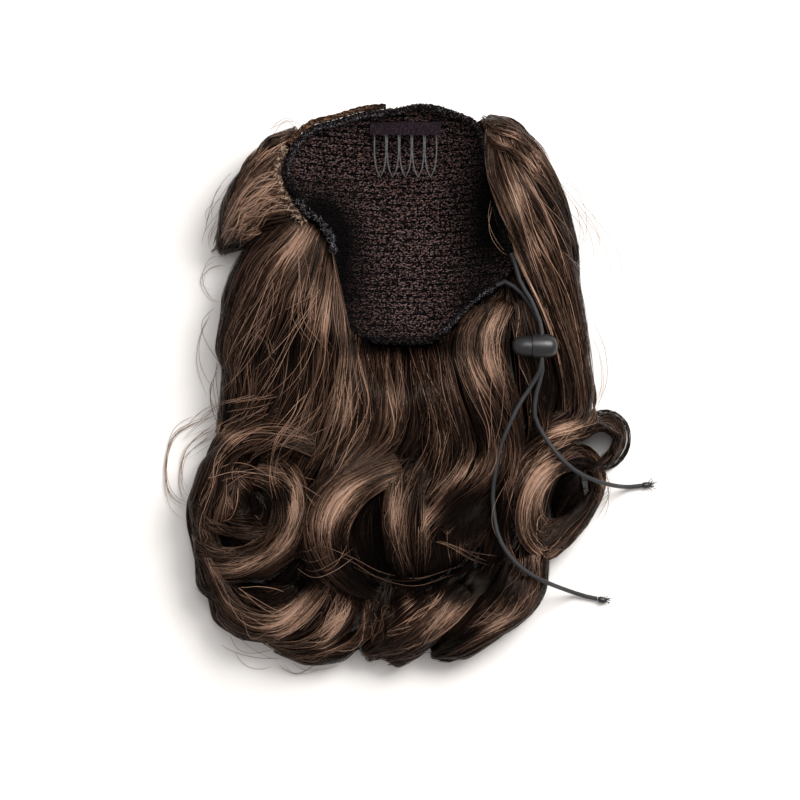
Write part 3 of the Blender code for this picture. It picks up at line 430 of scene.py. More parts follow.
# Thin single locks: width in mm, depth in mm, then the guide
THIN_LOCKS = [
    (9.0, 4.0, [(590, 432, 0), (596, 424, 1), (606, 419, 2), (617, 421, 2), (624, 430, 2), (625, 442, 2),
                (620, 453, 1), (610, 462, 0), (598, 468, 0), (586, 473, 0)]),
    (5.0, 3.0, [(485, 132, 6), (489, 124, 8), (500, 120, 8), (511, 121, 7), (521, 127, 6), (533, 137, 3)]),
    (5.0, 3.0, [(484, 124, 6), (494, 129, 8), (504, 133, 8), (515, 136, 7), (527, 145, 4), (538, 158, 2)]),
    (4.0, 2.5, [(487, 138, 7), (495, 146, 8), (507, 153, 8), (520, 162, 7), (534, 177, 5), (546, 194, 3)]),
    (4.0, 2.5, [(486, 120, 5), (497, 118, 7), (509, 122, 7), (520, 131, 6), (531, 135, 4), (537, 139, 3)]),
    (8.0, 3.0, [(392, 606, 0), (384, 622, 0), (378, 636, 0), (373, 646, 0)]),
    (6.0, 3.0, [(372, 598, 1), (372, 612, 1), (366, 624, 0), (357, 634, 0)]),
]

# Stray hairs: how many, spread in mm, then the guide
STRAYS = [
    (5, 3.0, [(298, 226, 2), (300, 280, 4), (300, 322, 5), (311, 340, 5), (328, 360, 4)]),
    (9, 9.0, [(322, 290, 4), (300, 330, 6), (272, 372, 6), (238, 408, 4)]),
    (8, 9.0, [(300, 260, 3), (276, 300, 5), (248, 344, 5), (226, 386, 3)]),
    (6, 8.0, [(360, 360, 4), (350, 400, 6), (330, 440, 6), (300, 470, 4)]),
    (6, 8.0, [(470, 350, 4), (480, 390, 6), (492, 430, 6), (486, 480, 4)]),
    (6, 6.0, [(520, 170, 6), (540, 205, 7), (560, 240, 6), (574, 270, 4)]),
    (4, 4.0, [(250, 330, 3), (268, 338, 5), (274, 352, 5), (284, 364, 3)]),
    (7, 4.0, [(285, 390, 2), (262, 396, 3), (232, 402, 3), (207, 412, 2), (190, 428, 2), (179, 441, 1)]),
    (7, 5.0, [(285, 402, 2), (255, 416, 3), (232, 426, 3), (212, 437, 3), (195, 449, 2), (178, 460, 1)]),
    (8, 3.5, [(212, 416, 2), (190, 424, 2), (172, 436, 1), (164, 455, 1), (162, 478, 1), (168, 497, 1),
              (182, 506, 1), (200, 505, 1)]),
    (6, 4.0, [(222, 424, 2), (198, 436, 2), (182, 452, 2), (178, 474, 1), (182, 494, 1), (196, 504, 1)]),
    (8, 8.0, [(330, 395, 4), (310, 420, 6), (282, 440, 7), (256, 455, 6), (236, 476, 4)]),
    (8, 8.0, [(310, 380, 4), (300, 410, 6), (276, 440, 7), (270, 470, 6), (280, 500, 4)]),
    (7, 8.0, [(262, 470, 3), (285, 478, 5), (305, 492, 6), (318, 512, 4)]),
    (5, 6.0, [(215, 480, 3), (240, 470, 5), (268, 478, 6), (296, 500, 5)]),
    (3, 1.5, [(322, 548, 3), (350, 560, 5), (375, 574, 5), (397, 580, 5), (418, 580, 5), (442, 572, 4),
              (470, 562, 2)]),
    (4, 6.0, [(220, 300, 1), (200, 326, 1), (194, 358, 1), (206, 392, 1)]),
    (4, 5.0, [(226, 262, 1), (206, 266, 1), (198, 282, 1), (208, 298, 1), (224, 302, 1)]),
    (4, 6.0, [(240, 170, 2), (222, 190, 1), (206, 214, 1), (200, 240, 1)]),
    (5, 5.0, [(290, 560, 2), (312, 570, 4), (330, 562, 5), (352, 540, 4)]),
    (6, 7.0, [(230, 580, 2), (250, 596, 4), (270, 610, 5), (300, 612, 3)]),
    (5, 7.0, [(560, 170, 2), (580, 190, 3), (596, 222, 4), (600, 250, 3), (590, 280, 2)]),
    (5, 5.0, [(566, 190, 2), (578, 205, 3), (582, 228, 3), (580, 246, 2), (588, 262, 1)]),
    (4, 5.0, [(560, 250, 2), (574, 262, 3), (590, 280, 2)]),
    (5, 6.0, [(590, 330, 2), (602, 350, 2), (606, 380, 2), (596, 410, 1)]),
    (4, 3.0, [(494, 190, 2), (491, 210, 4), (491, 228, 5), (500, 245, 5), (516, 258, 4), (540, 264, 2)]),
    (4, 5.0, [(508, 556, 2), (520, 540, 3), (522, 500, 4), (514, 470, 3)]),
    (4, 3.0, [(430, 540, 2), (452, 548, 4), (474, 560, 4), (496, 566, 2)]),
    (5, 6.0, [(600, 470, 2), (608, 480, 2), (610, 500, 2), (598, 520, 1)]),
    (5, 6.0, [(215, 370, 1), (208, 390, 1), (212, 412, 1), (222, 430, 1)]),
    (4, 6.0, [(230, 636, 1), (238, 652, 1), (260, 662, 1), (288, 664, 1)]),
    (4, 6.0, [(340, 664, 1), (322, 674, 1), (296, 676, 1), (268, 664, 1)]),
    (3, 4.0, [(300, 128, 1), (288, 118, 2), (276, 122, 1), (262, 134, 1)]),
    (4, 4.0, [(238, 200, 1), (220, 214, 1), (208, 232, 1), (206, 250, 1)]),
]

# Painted highlights and painted shade on the hair: pixel x and y, half length and half width in pixels,
# direction in degrees and weight
PAINTED_HAIR_LIGHT_AND_SHADE = [
    (222, 431, 24, 9, -20, 0.26), (230, 502, 26, 9, 55, 0.22), (296, 500, 34, 7, 84, 0.34),
    (282, 545, 16, 8, 50, 0.24), (240, 566, 28, 7, 10, 0.16), (290, 620, 40, 14, 38, 0.30),
    (336, 622, 26, 9, 55, 0.32), (366, 614, 18, 5, 75, 0.20), (330, 648, 18, 5, 15, 0.22),
    (346, 408, 26, 10, 88, 0.24), (390, 408, 22, 8, 85, 0.18), (336, 505, 34, 12, 50, 0.34),
    (394, 510, 28, 9, 95, 0.30), (428, 515, 24, 12, 55, 0.26), (468, 472, 30, 11, 30, 0.24),
    (486, 368, 26, 14, 80, 0.26), (490, 326, 18, 9, 60, 0.22), (443, 442, 20, 6, 88, 0.14),
    (446, 612, 26, 12, 45, 0.32), (498, 620, 20, 8, 35, 0.26), (534, 590, 22, 6, 70, 0.12),
    (538, 480, 36, 13, 75, 0.34), (562, 428, 16, 12, 20, 0.36), (604, 492, 20, 5, 75, 0.20),
    (578, 532, 22, 5, 50, 0.10), (536, 556, 12, 7, 0, 0.16), (520, 190, 60, 14, 60, 0.20),
    (535, 250, 40, 12, 55, 0.16), (508, 140, 16, 8, 40, 0.20), (296, 248, 26, 10, 50, 0.26),
    (296, 296, 16, 8, 60, 0.20), (314, 306, 26, 6, 90, 0.22), (326, 322, 30, 5, 85, 0.20),
    (255, 200, 34, 18, 40, 0.20), (270, 150, 26, 8, 30, 0.16), (236, 246, 9, 6, 20, -0.30),
    (408, 604, 10, 7, 90, 0.34), (434, 596, 11, 6, 20, 0.22), (445, 534, 10, 3, 10, 0.20),
    (458, 550, 14, 5, 40, 0.26),
    (395, 590, 9, 5, 0, 0.22), (484, 600, 8, 4, 80, 0.18),
    (395, 345, 62, 8, 0, -0.30), (366, 575, 24, 26, 0, -0.42), (462, 582, 46, 18, 0, -0.54),
    (468, 512, 26, 20, 0, -0.42), (258, 356, 8, 10, 0, -0.22), (290, 345, 12, 16, 0, -0.20),
    (262, 500, 16, 12, 0, -0.26), (455, 642, 26, 7, 30, -0.30), (300, 580, 16, 14, 0, -0.24),
    (568, 500, 22, 18, 0, -0.38), (500, 520, 8, 34, 0, -0.34), (478, 230, 14, 70, 0, -0.20),
    (570, 214, 12, 14, 0, -0.16), (548, 390, 16, 34, 0, -0.18), (530, 440, 12, 14, 0, -0.14),
    (490, 425, 34, 24, 0, -0.14), (370, 470, 18, 10, 0, -0.06), (250, 584, 26, 8, 10, -0.16),
    (340, 560, 8, 20, 0, -0.14), (428, 470, 14, 10, 0, -0.06), (268, 640, 28, 4, 0, -0.08),
]
BASE_TONE = 0.315
# How strongly the hair's painted highlights and shade are laid on, and how each patch fades
PAINTED_HAIR_LIGHT_STRENGTH = 1.40
PATCH_FALL = 1.4

# Corner of the right bunch that the hair bends round: pixel x, pixel y, reach in pixels, and its easing
BLUNT_CORNER = (477, 112, 13)
CORNER_EASE = (0.0052, -0.0040)

# Painted shade and painted light on the net, darkest on the bowl's shaded sides, and a darkening of the top
# band's end, as above
NET_PAINTED_LIGHT_AND_SHADE = [
    (492, 205, 100, 36, 82, -1.10), (338, 272, 84, 32, 100, -0.98), (470, 300, 30, 14, 40, -0.40),
    (326, 215, 38, 20, 130, -0.62), (400, 130, 60, 8, 5, -0.20), (420, 240, 50, 34, 90, 0.25),
    (312, 178, 26, 10, 120, 0.22), (400, 305, 40, 16, 0, 0.15), (330, 330, 30, 12, 120, -0.30),
    (292, 190, 40, 7, 110, -0.35), (320, 260, 50, 6, 115, -0.45), (400, 342, 60, 8, 0, -0.55),
    (388, 106, 18, 5, 8, -0.93),
]

# Groups of hair: piece, seed, the CAD node under it, strands on that node's own surface, the guides that they
# follow, then the sheets over it as guides, strands, clumps and other settings
FALL_CENTRE = FALL_TO_ROLL + FALL_MIDDLE + FALL_SHEET + FALL_SIDE
HAIR_GROUPS = [
    ("wing_strands", 11, "hair_wing_left", 900, WING, [
        (WING, 1100, 34, {"rows": 16, "ragged": 0.26, "shade": 0.04}),
        (WING_TIP, 170, 12, {"rows": 12, "ragged": 0.5, "shade": 0.16, "gather": 0.0}),
    ]),
    ("fall_left_strands", 12, "hair_fall_left", 1300, FALL_LEFT, [(FALL_LEFT, 1600, 48, {"rows": 20})]),
    ("fall_centre_strands", 13, "hair_fall_centre", 1180, FALL_CENTRE, [
        (FALL_TO_ROLL, 640, 22, {"rows": 18, "sway": 0.8}),
        (FALL_MIDDLE, 460, 16, {"rows": 18, "sway": 0.8}),
        (FALL_SHEET, 800, 26, {"rows": 22, "sway": 0.7}),
        (FALL_SIDE, 300, 12, {"rows": 14, "low": 1.0}),
    ]),
    ("bunch_strands", 14, "hair_fall_right", 1300, BUNCH + BUNCH_TOP + BAND_RIGHT, [
        (BUNCH, 850, 26, {"rows": 24}),
        (BUNCH_TOP, 500, 18, {"rows": 18}),
    ]),
    ("curl_centre_strands", 15, "hair_curl_centre", 700, ROLL + MIDDLE, [
        (ROLL, 900, 20, {"rows": 20, "sway": 0.7, "depth": 3.0}),
        (MIDDLE, 480, 14, {"rows": 18, "sway": 0.7}),
    ]),
    ("curl_left_strands", 16, "hair_curl_left", 1150, SWEEP_LEFT + RING_LEFT + LEVEL_LEFT, [
        (SWEEP_LEFT, 620, 18, {"rows": 22}),
        (RING_LEFT, 700, 20, {"rows": 22}),
        (LEVEL_LEFT, 200, 8, {"rows": 16, "low": -0.5}),
        (INNER_LEFT, 120, 6, {"rows": 14}),
    ]),
    ("ends_left_strands", 17, "hair_ends_left", 1150, ENDS_LEFT_TOP + ENDS_LEFT_SECOND + ENDS_LEFT_LOW, [
        (ENDS_LEFT_TOP, 700, 18, {"rows": 22}),
        (ENDS_LEFT_SECOND, 300, 8, {"rows": 16}),
        (ENDS_LEFT_LOW, 280, 10, {"rows": 18}),
    ]),
    ("ends_right_strands", 18, "hair_ends_right", 1080, ENDS_CENTRE + ENDS_RIGHT, [
        (ENDS_CENTRE, 650, 20, {"rows": 18}),
        (ENDS_RIGHT, 650, 16, {"rows": 20}),
    ]),
    ("curl_right_strands", 19, "hair_curl_right", 900, RING_RIGHT + LOBE_RIGHT, [
        (BAND_RIGHT, 400, 14, {"rows": 18}),
        (RING_RIGHT, 620, 16, {"rows": 24}),
        (LOBE_RIGHT, 280, 10, {"rows": 16}),
        (POST_RIGHT, 240, 8, {"rows": 14}),
    ]),
]

# Rows of stitches: piece, first and last angle, reach out of the rim, rise, length, slant, number, radius,
# yarn and seed
STITCHES = [
    ("weft_left_stitches", 147, 176, (0.0022, 0.0060), 0.0014, 0.0040, 0.6, 190, 0.00030, "weft_beige", 6),
    ("rim_zigzag_top", 98, 158, (-0.0026, -0.0018), 0.0042, 0.0022, 0.9, 90, 0.00022, "grey_stitch", 9),
    ("rim_stitches_left", 168, 204, (-0.0030, 0.0006), 0.0044, 0.0028, 0.9, 110, 0.00026, "grey_stitch", 12),
    ("rim_stitches_low", 292, 326, (-0.0016, 0.0002), 0.0045, 0.0022, 0.8, 60, 0.00024, "grey_stitch", 14),
]

# Yarns: dark, light, noise scale, roughness, a third colour, and whether the net's painted light and shade
# scale them
YARNS = {
    "net_yarn": ((0.0008, 0.0005, 0.0006), (0.140, 0.092, 0.090), 850.0, 0.75, (0.120, 0.064, 0.052), True),
    # Near-black shell under the knit: painted shade that shows through the eyelets
    "net_shade": ((0.0010, 0.0007, 0.0009), (0.004, 0.0025, 0.003), 700.0),
    "net_fibres": ((0.020, 0.015, 0.016), (0.16, 0.12, 0.11), 160.0, 0.7, None, True),
    "hem_yarn": ((0.0010, 0.0007, 0.0009), (0.010, 0.007, 0.008), 1100.0, 0.8, None, True),
    "hem_stitch": ((0.0024, 0.0018, 0.0021), (0.080, 0.064, 0.066), 700.0, 0.7, None, True),
    "grey_stitch": ((0.018, 0.017, 0.020), (0.125, 0.117, 0.130), 600.0, 0.7),
    "weft_beige": ((0.055, 0.034, 0.024), (0.36, 0.26, 0.19), 520.0),
    "weft_beige_base": ((0.022, 0.013, 0.009), (0.11, 0.070, 0.048), 700.0),
    "weft_orange": ((0.024, 0.011, 0.007), (0.165, 0.094, 0.054), 700.0, 0.8, None, True),
    "tape_cloth": ((0.0095, 0.0060, 0.0085), (0.034, 0.023, 0.030), 1300.0),
}


def place(pixel_x, pixel_y):
    """World x and y of a pixel of the photograph, in metres."""
    return (pixel_x - PHOTO_ORIGIN[0]) * PIXEL, (PHOTO_ORIGIN[1] - pixel_y) * PIXEL


def link_object(name, data):
    """An object with the given data, in the scene."""
    made = bpy.data.objects.new(name, data)
    bpy.context.scene.collection.objects.link(made)
    return made


def make_object(name, verts, faces, surface, smooth=True):
    """An object with a mesh of its own under one material."""
    mesh = bpy.data.meshes.new(name)
    mesh.from_pydata(verts, [], faces)
    mesh.update()
    mesh.materials.append(surface)
    if smooth:
        mesh.shade_smooth()
    return link_object(name, mesh)


def put_on(made, node=None):
    """Puts a piece on the hairpiece's body, and in place of a CAD node where one is named."""
    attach(made, "hairpiece")
    if node:
        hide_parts(node)


def unit(rows):
    """Rows of vectors, each brought to length 1."""
    return rows / (np.linalg.norm(rows, axis=-1)[..., None] + TINY)


def smooth_normals(mesh):
    """Turns each corner's normal to the mean of the facets round it, up to a sharp edge. No corner moves."""
    around = {}
    corners = []
    for face in mesh.polygons:
        for index in face.vertices:
            spot = tuple(round(c, 6) for c in mesh.vertices[index].co)
            around.setdefault(spot, []).append(face.normal * face.area)
            corners.append((spot, face.normal))
    normals = []
    for spot, own in corners:
        total = own * TINY
        for other in around[spot]:
            if other.angle(own, 0.0) < LOCK_SHARP:
                total += other
        normals.append(total.normalized())
    mesh.normals_split_custom_set(normals)


def hermite(a, b, slope_a, slope_b, t):
    """Cubic between two values with the given slopes over the unit step."""
    t2 = t * t
    t3 = t2 * t
    start = (2 * t3 - 3 * t2 + 1) * a + (t3 - 2 * t2 + t) * slope_a
    return start + (3 * t2 - 2 * t3) * b + (t3 - t2) * slope_b


def smooth_route(points, step):
    """Points read every step or so along a smooth curve through the given points."""
    line = [Vector(p) for p in points]
    slopes = []
    for i in range(len(line)):
        before = line[max(i - 1, 0)]
        after = line[min(i + 1, len(line) - 1)]
        slopes.append((after - before) / 2 if 0 < i < len(line) - 1 else after - before)
    fine = []
    for i in range(len(line) - 1):
        for k in range(16):
            fine.append(hermite(line[i], line[i + 1], slopes[i], slopes[i + 1], k / 16))
    fine.append(line[-1])
    lengths = [0.0]
    for a, b in zip(fine, fine[1:]):
        lengths.append(lengths[-1] + (b - a).length)
    count = max(2, round(lengths[-1] / step))
    out = []
    k = 0
    for n in range(count + 1):
        target = lengths[-1] * n / count
        while k < len(fine) - 2 and lengths[k + 1] < target:
            k += 1
        span = lengths[k + 1] - lengths[k]
        out.append(fine[k].lerp(fine[k + 1], (target - lengths[k]) / span))
    return out


def rim_row(angle):
    """Reach and height of the rim at an angle, read from a smooth closed curve through the table."""
    angle = (angle - RIM[0][0]) % 360 + RIM[0][0]
    count = len(RIM)
    index = max(i for i in range(count) if RIM[i][0] <= angle)
    rows = []
    for k in range(index - 1, index + 3):
        turn = k // count * 360
        row = RIM[k % count]
        rows.append((row[0] + turn, row[1], row[2]))
    span = rows[2][0] - rows[1][0]
    t = (angle - rows[1][0]) / span
    values = []
    for column in (1, 2):
        slope_a = (rows[2][column] - rows[0][column]) / (rows[2][0] - rows[0][0]) * span
        slope_b = (rows[3][column] - rows[1][column]) / (rows[3][0] - rows[1][0]) * span
        values.append(hermite(rows[1][column], rows[2][column], slope_a, slope_b, t))
    return values


def rim_base(angle):
    """Place of the rim's own edge at an angle."""
    reach, height = rim_row(angle)
    turn = math.radians(angle)
    x = CAP_CENTRE[0] + CAP_WIDTH / 2 * reach * math.cos(turn)
    y = CAP_CENTRE[1] + CAP_LENGTH / 2 * reach * math.sin(turn)
    return Vector((x, y, RIM_HEIGHT * height / 100))


def rim_out(angle):
    """Level direction straight out of the rim at an angle."""
    along = rim_base(angle + 2) - rim_base(angle - 2)
    return Vector((along.y, -along.x, 0)).normalized()


def rim_point(angle, out=0.0, rise=0.0):
    """Place beside the rim's edge, some way out of it and above it."""
    return rim_base(angle) + rim_out(angle) * out + Vector((0, 0, rise))


# Materials


def new_material(name, colour, roughness, metallic=0.0, specular=0.5):
    made = bpy.data.materials.new(name)
    made.use_nodes = True
    shader = made.node_tree.nodes["Principled BSDF"]
    shader.inputs["Base Color"].default_value = (*colour, 1.0)
    shader.inputs["Roughness"].default_value = roughness
    shader.inputs["Metallic"].default_value = metallic
    shader.inputs["Specular IOR Level"].default_value = specular
    return made, made.node_tree, shader


def add_noise(tree, scale, detail=2.0, stretch=(1.0, 1.0, 1.0)):
    where = tree.nodes.new("ShaderNodeTexCoord")
    mapping = tree.nodes.new("ShaderNodeMapping")
    mapping.inputs["Scale"].default_value = stretch
    noise = tree.nodes.new("ShaderNodeTexNoise")
    noise.inputs["Scale"].default_value = scale
    noise.inputs["Detail"].default_value = detail
    tree.links.new(where.outputs["Object"], mapping.inputs["Vector"])
    tree.links.new(mapping.outputs["Vector"], noise.inputs["Vector"])
    return noise


def add_ramp(tree, source, rows):
    ramp = tree.nodes.new("ShaderNodeValToRGB")
    points = ramp.color_ramp.elements
    while len(points) < len(rows):
        points.new(0.5)
    for point, (position, colour) in zip(points, rows):
        point.position = position
        point.color = (*colour, 1.0)
    tree.links.new(source, ramp.inputs["Fac"])
    return ramp


def add_bump(tree, shader, source, strength, distance):
    bump = tree.nodes.new("ShaderNodeBump")
    bump.inputs["Strength"].default_value = strength
    bump.inputs["Distance"].default_value = distance
    tree.links.new(source, bump.inputs["Height"])
    tree.links.new(bump.outputs["Normal"], shader.inputs["Normal"])


def attribute_value(tree, name):
    """Socket with the value that a piece's mesh stores under a name."""
    node = tree.nodes.new("ShaderNodeAttribute")
    node.attribute_name = name
    return node.outputs["Fac"]


def mixed(tree, share, first, second):
    """Socket with two colours mixed by a share."""
    blend = tree.nodes.new("ShaderNodeMix")
    blend.data_type = "RGBA"
    tree.links.new(share, blend.inputs[0])
    tree.links.new(first, blend.inputs[6])
    tree.links.new(second, blend.inputs[7])
    return blend.outputs[2]


def hair_material():
    """Hair colour from each strand's stored tone, with its painted highlights and shade; cooler or warmer by
    strand.
    """
    made, tree, shader = new_material("hair_strands", (0.05, 0.03, 0.02), 0.22, 0.0, 0.38)
    shader.inputs["Specular Tint"].default_value = (1.0, 0.80, 0.66, 1.0)
    shader.inputs["IOR"].default_value = 1.32
    noise = add_noise(tree, 420.0, 3.0)
    spread = tree.nodes.new("ShaderNodeMath")
    spread.operation = "MULTIPLY_ADD"
    spread.inputs[1].default_value = 0.16
    tree.links.new(noise.outputs["Fac"], spread.inputs[0])
    tree.links.new(attribute_value(tree, "tone"), spread.inputs[2])
    # The ramps' light ends colour the painted highlights, their dark ends the painted shade
    cool = add_ramp(tree, spread.outputs[0], [
        (0.06, (0.0004, 0.0002, 0.0002)), (0.30, (0.0038, 0.0021, 0.0016)), (0.50, (0.025, 0.0143, 0.0100)),
        (0.70, (0.110, 0.067, 0.048)), (0.94, (0.46, 0.305, 0.230)),
    ])
    warm = add_ramp(tree, spread.outputs[0], [
        (0.06, (0.0005, 0.0002, 0.0002)), (0.30, (0.0048, 0.0020, 0.0013)), (0.50, (0.031, 0.0138, 0.0078)),
        (0.70, (0.120, 0.062, 0.038)), (0.94, (0.48, 0.280, 0.185)),
    ])
    colour = mixed(tree, attribute_value(tree, "warmth"), cool.outputs["Color"], warm.outputs["Color"])
    tree.links.new(colour, shader.inputs["Base Color"])
    return made


def plain_material(name, colour, roughness, metallic, specular, noise, rows, bump=None, rough=None,
                   stretch=(1.0, 1.0, 1.0)):
    """Base colour from a ramp over noise, which may also make bumps and vary the roughness."""
    made, tree, shader = new_material(name, colour, roughness, metallic, specular)
    fleck = add_noise(tree, *noise, stretch).outputs["Fac"]
    ramp = add_ramp(tree, fleck, rows)
    tree.links.new(ramp.outputs["Color"], shader.inputs["Base Color"])
    if rough:
        spread = tree.nodes.new("ShaderNodeMapRange")
        spread.inputs["To Min"].default_value = rough[0]
        spread.inputs["To Max"].default_value = rough[1]
        tree.links.new(fleck, spread.inputs["Value"])
        tree.links.new(spread.outputs["Result"], shader.inputs["Roughness"])
    if bump:
        add_bump(tree, shader, fleck, *bump)
    return made


def yarn_material(name, dark, light, scale=900.0, roughness=0.8, third=None, shaded=False):
    """Yarn flecked by noise; a third colour lies in broader patches, and a stored painted shade and light
    scales it.
    """
    made, tree, shader = new_material(name, dark, roughness, 0.0, 0.05)
    shader.inputs["Sheen Weight"].default_value = 0.01
    shader.inputs["Sheen Roughness"].default_value = 0.4
    noise = add_noise(tree, scale, 3.0)
    ramp = add_ramp(tree, noise.outputs["Fac"], [(0.47, dark), (0.62, light)])
    colour = ramp.outputs["Color"]
    if third:
        broad = add_noise(tree, scale * 0.45, 2.0)
        mask = add_ramp(tree, broad.outputs["Fac"], [(0.54, (0, 0, 0)), (0.64, (1, 1, 1))])
        tint = add_ramp(tree, noise.outputs["Fac"], [(0.43, dark), (0.62, third)])
        colour = mixed(tree, mask.outputs["Color"], colour, tint.outputs["Color"])
    # The stored shade is painted shade and painted light from the net's patches
    if shaded:
        scaled = tree.nodes.new("ShaderNodeVectorMath")
        scaled.operation = "SCALE"
        tree.links.new(colour, scaled.inputs[0])
        tree.links.new(attribute_value(tree, "shade"), scaled.inputs["Scale"])
        colour = scaled.outputs[0]
    tree.links.new(colour, shader.inputs["Base Color"])
    add_bump(tree, shader, noise.outputs["Fac"], 0.7, 0.0003)
    return made


# Camera, floor and light


def add_camera():
    """A camera straight above, with the photograph's own scale at the object's middle height."""
    data = bpy.data.cameras.new("camera")
    camera = link_object("camera", data)
    middle = place(IMAGE_SIDE / 2, IMAGE_SIDE / 2)
    camera.location = (middle[0], middle[1], CAMERA_LEVEL + CAMERA_DISTANCE)
    camera.rotation_euler = (0, 0, 0)
    data.sensor_width = SENSOR_WIDTH
    data.lens = data.sensor_width * CAMERA_DISTANCE / (IMAGE_SIDE * PIXEL)
    data.clip_start = CLIP_NEAR
    data.clip_end = CLIP_FAR
    data.dof.use_dof = False
    bpy.context.scene.camera = camera


def add_light(name, spot, size, power, colour):
    """A round light at a spot, aimed at the frame's origin."""
    data = bpy.data.lights.new(name, "AREA")
    data.shape = "DISK"
    data.size = size
    data.energy = power
    data.color = colour
    made = link_object(name, data)
    made.location = spot
    made.rotation_euler = (-Vector(spot)).to_track_quat("-Z", "Y").to_euler()


def add_stage():
    paper = plain_material("floor_paper", (0.93, 0.915, 0.90), 0.85, 0.0, 0.2, (40.0, 3.0),
                           [(0.3, (0.92, 0.90, 0.885)), (0.7, (0.94, 0.925, 0.91))])
    corners = [(-FLOOR_HALF, -FLOOR_HALF, 0), (FLOOR_HALF, -FLOOR_HALF, 0), (FLOOR_HALF, FLOOR_HALF, 0),
               (-FLOOR_HALF, FLOOR_HALF, 0)]
    floor = make_object("floor", corners, [(0, 1, 2, 3)], paper, False)
    floor.location.z = -FLOOR_DROP
    world = bpy.data.worlds.new("studio")
    world.use_nodes = True
    sky = world.node_tree.nodes["Background"]
    sky.inputs["Color"].default_value = (*WORLD_COLOUR, 1.0)
    sky.inputs["Strength"].default_value = WORLD_STRENGTH
    bpy.context.scene.world = world
    for name, settings in LIGHTS.items():
        add_light(name, *settings)
    bpy.context.scene.view_settings.view_transform = "Standard"


# Heights read from the CAD's hair


def node_tree(name):
    """Search tree over a CAD node."""
    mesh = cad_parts[name].data
    return BVHTree.FromPolygons([v.co[:] for v in mesh.vertices], [p.vertices[:] for p in mesh.polygons])


class Heights:
    """Top of some CAD nodes over a level grid."""

    def __init__(self, names):
        self.x0 = cad_low.x - GRID_MARGIN
        self.y0 = cad_low.y - GRID_MARGIN
        self.columns = int((cad_high.x - cad_low.x + 2 * GRID_MARGIN) / GRID_STEP)
        self.rows = int((cad_high.y - cad_low.y + 2 * GRID_MARGIN) / GRID_STEP)
        self.top = np.zeros((self.rows, self.columns))
        down = Vector((0, 0, -1))
        for name in names:
            tree = node_tree(name)
            low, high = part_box(name)
            first = int((low.x - self.x0) / GRID_STEP)
            last = int((high.x - self.x0) / GRID_STEP) + 2
            bottom = int((low.y - self.y0) / GRID_STEP)
            upper = int((high.y - self.y0) / GRID_STEP) + 2
            for j in range(bottom, upper):
                y = self.y0 + j * GRID_STEP
                for i in range(first, last):
                    hit = tree.ray_cast(Vector((self.x0 + i * GRID_STEP, y, RAY_TOP)), down)[0]
                    if hit and hit.z > self.top[j, i]:
                        self.top[j, i] = hit.z

    def softened(self, reach):
        """The same grid blurred over a reach in metres."""
        count = max(1, int(reach / GRID_STEP * 2))
        offsets = np.arange(-count, count + 1) * GRID_STEP
        kernel = np.exp(-0.5 * (offsets / reach) ** 2)
        kernel /= kernel.sum()
        soft = copy.copy(self)
        for axis in range(2):
            soft.top = np.apply_along_axis(np.convolve, axis, soft.top, kernel, "same")
        return soft

    def at(self, x, y):
        """Heights at places, read between the grid's points."""
        u = np.clip((x - self.x0) / GRID_STEP, 0, self.columns - 1.001)
        v = np.clip((y - self.y0) / GRID_STEP, 0, self.rows - 1.001)
        i = u.astype(int)
        j = v.astype(int)
        f = u - i
        g = v - j
        low = self.top[j, i] * (1 - f) + self.top[j, i + 1] * f
        high = self.top[j + 1, i] * (1 - f) + self.top[j + 1, i + 1] * f
        return low * (1 - g) + high * g


HAIR_NODES = [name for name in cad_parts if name.startswith("hair_")]
ground = Heights(HAIR_NODES + ["net_cap"])
soft_ground = ground.softened(SOFT_REACH)


# Strands


def even_line(points, count):
    """Evenly spaced rows of a smooth line through the given rows, spaced by their level distance."""
    line = np.array(points, float)
    slopes = np.empty_like(line)
    slopes[1:-1] = (line[2:] - line[:-2]) / 2
    slopes[0] = line[1] - line[0]
    slopes[-1] = line[-1] - line[-2]
    fine = []
    for i in range(len(line) - 1):
        for t in np.arange(12) / 12:
            fine.append(hermite(line[i], line[i + 1], slopes[i], slopes[i + 1], t))
    fine.append(line[-1])
    fine = np.array(fine)
    step = np.hypot(np.diff(fine[:, 0]), np.diff(fine[:, 1]))
    length = np.concatenate([[0], np.cumsum(step)])
    wanted = np.linspace(0, length[-1], count)
    return np.stack([np.interp(wanted, length, fine[:, k]) for k in range(fine.shape[1])], 1)


def smoothed(values, passes):
    """Values evened out along their last axis, with both ends kept."""
    for _ in range(passes):
        inner = (values[..., :-2] + 2 * values[..., 1:-1] + values[..., 2:]) / 4
        values = np.concatenate([values[..., :1], inner, values[..., -1:]], -1)
    return values


def guide_line(guide):
    """World line of a guide: its level route, at the CAD hair's own height plus the guide's lift."""
    line = even_line(guide, FINE_ROWS)
    x, y = place(line[:, 0], line[:, 1])
    z = smoothed(soft_ground.at(x, y), 10) + line[:, 2] / 1000
    return np.stack([x, y, z], 1)


def beside(guide, width):
    """Three guides side by side, for a single lock of a width in mm that narrows at its ends."""
    line = even_line(guide, 12)
    along = unit(np.gradient(line[:, :2], axis=0))
    side = np.stack([along[:, 1], -along[:, 0]], 1)
    t = np.linspace(0, 1, len(line))
    narrow = np.minimum(1.0, np.minimum(t * 5 + 0.5, (1 - t) * 3 + 0.25))
    made = []
    for share in (-0.5, 0.0, 0.5):
        moved = line.copy()
        moved[:, :2] += side * (share * width / 1000 / PIXEL * narrow)[:, None]
        moved[:, 2] -= abs(share) * 2
        made.append([tuple(row) for row in moved])
    return made


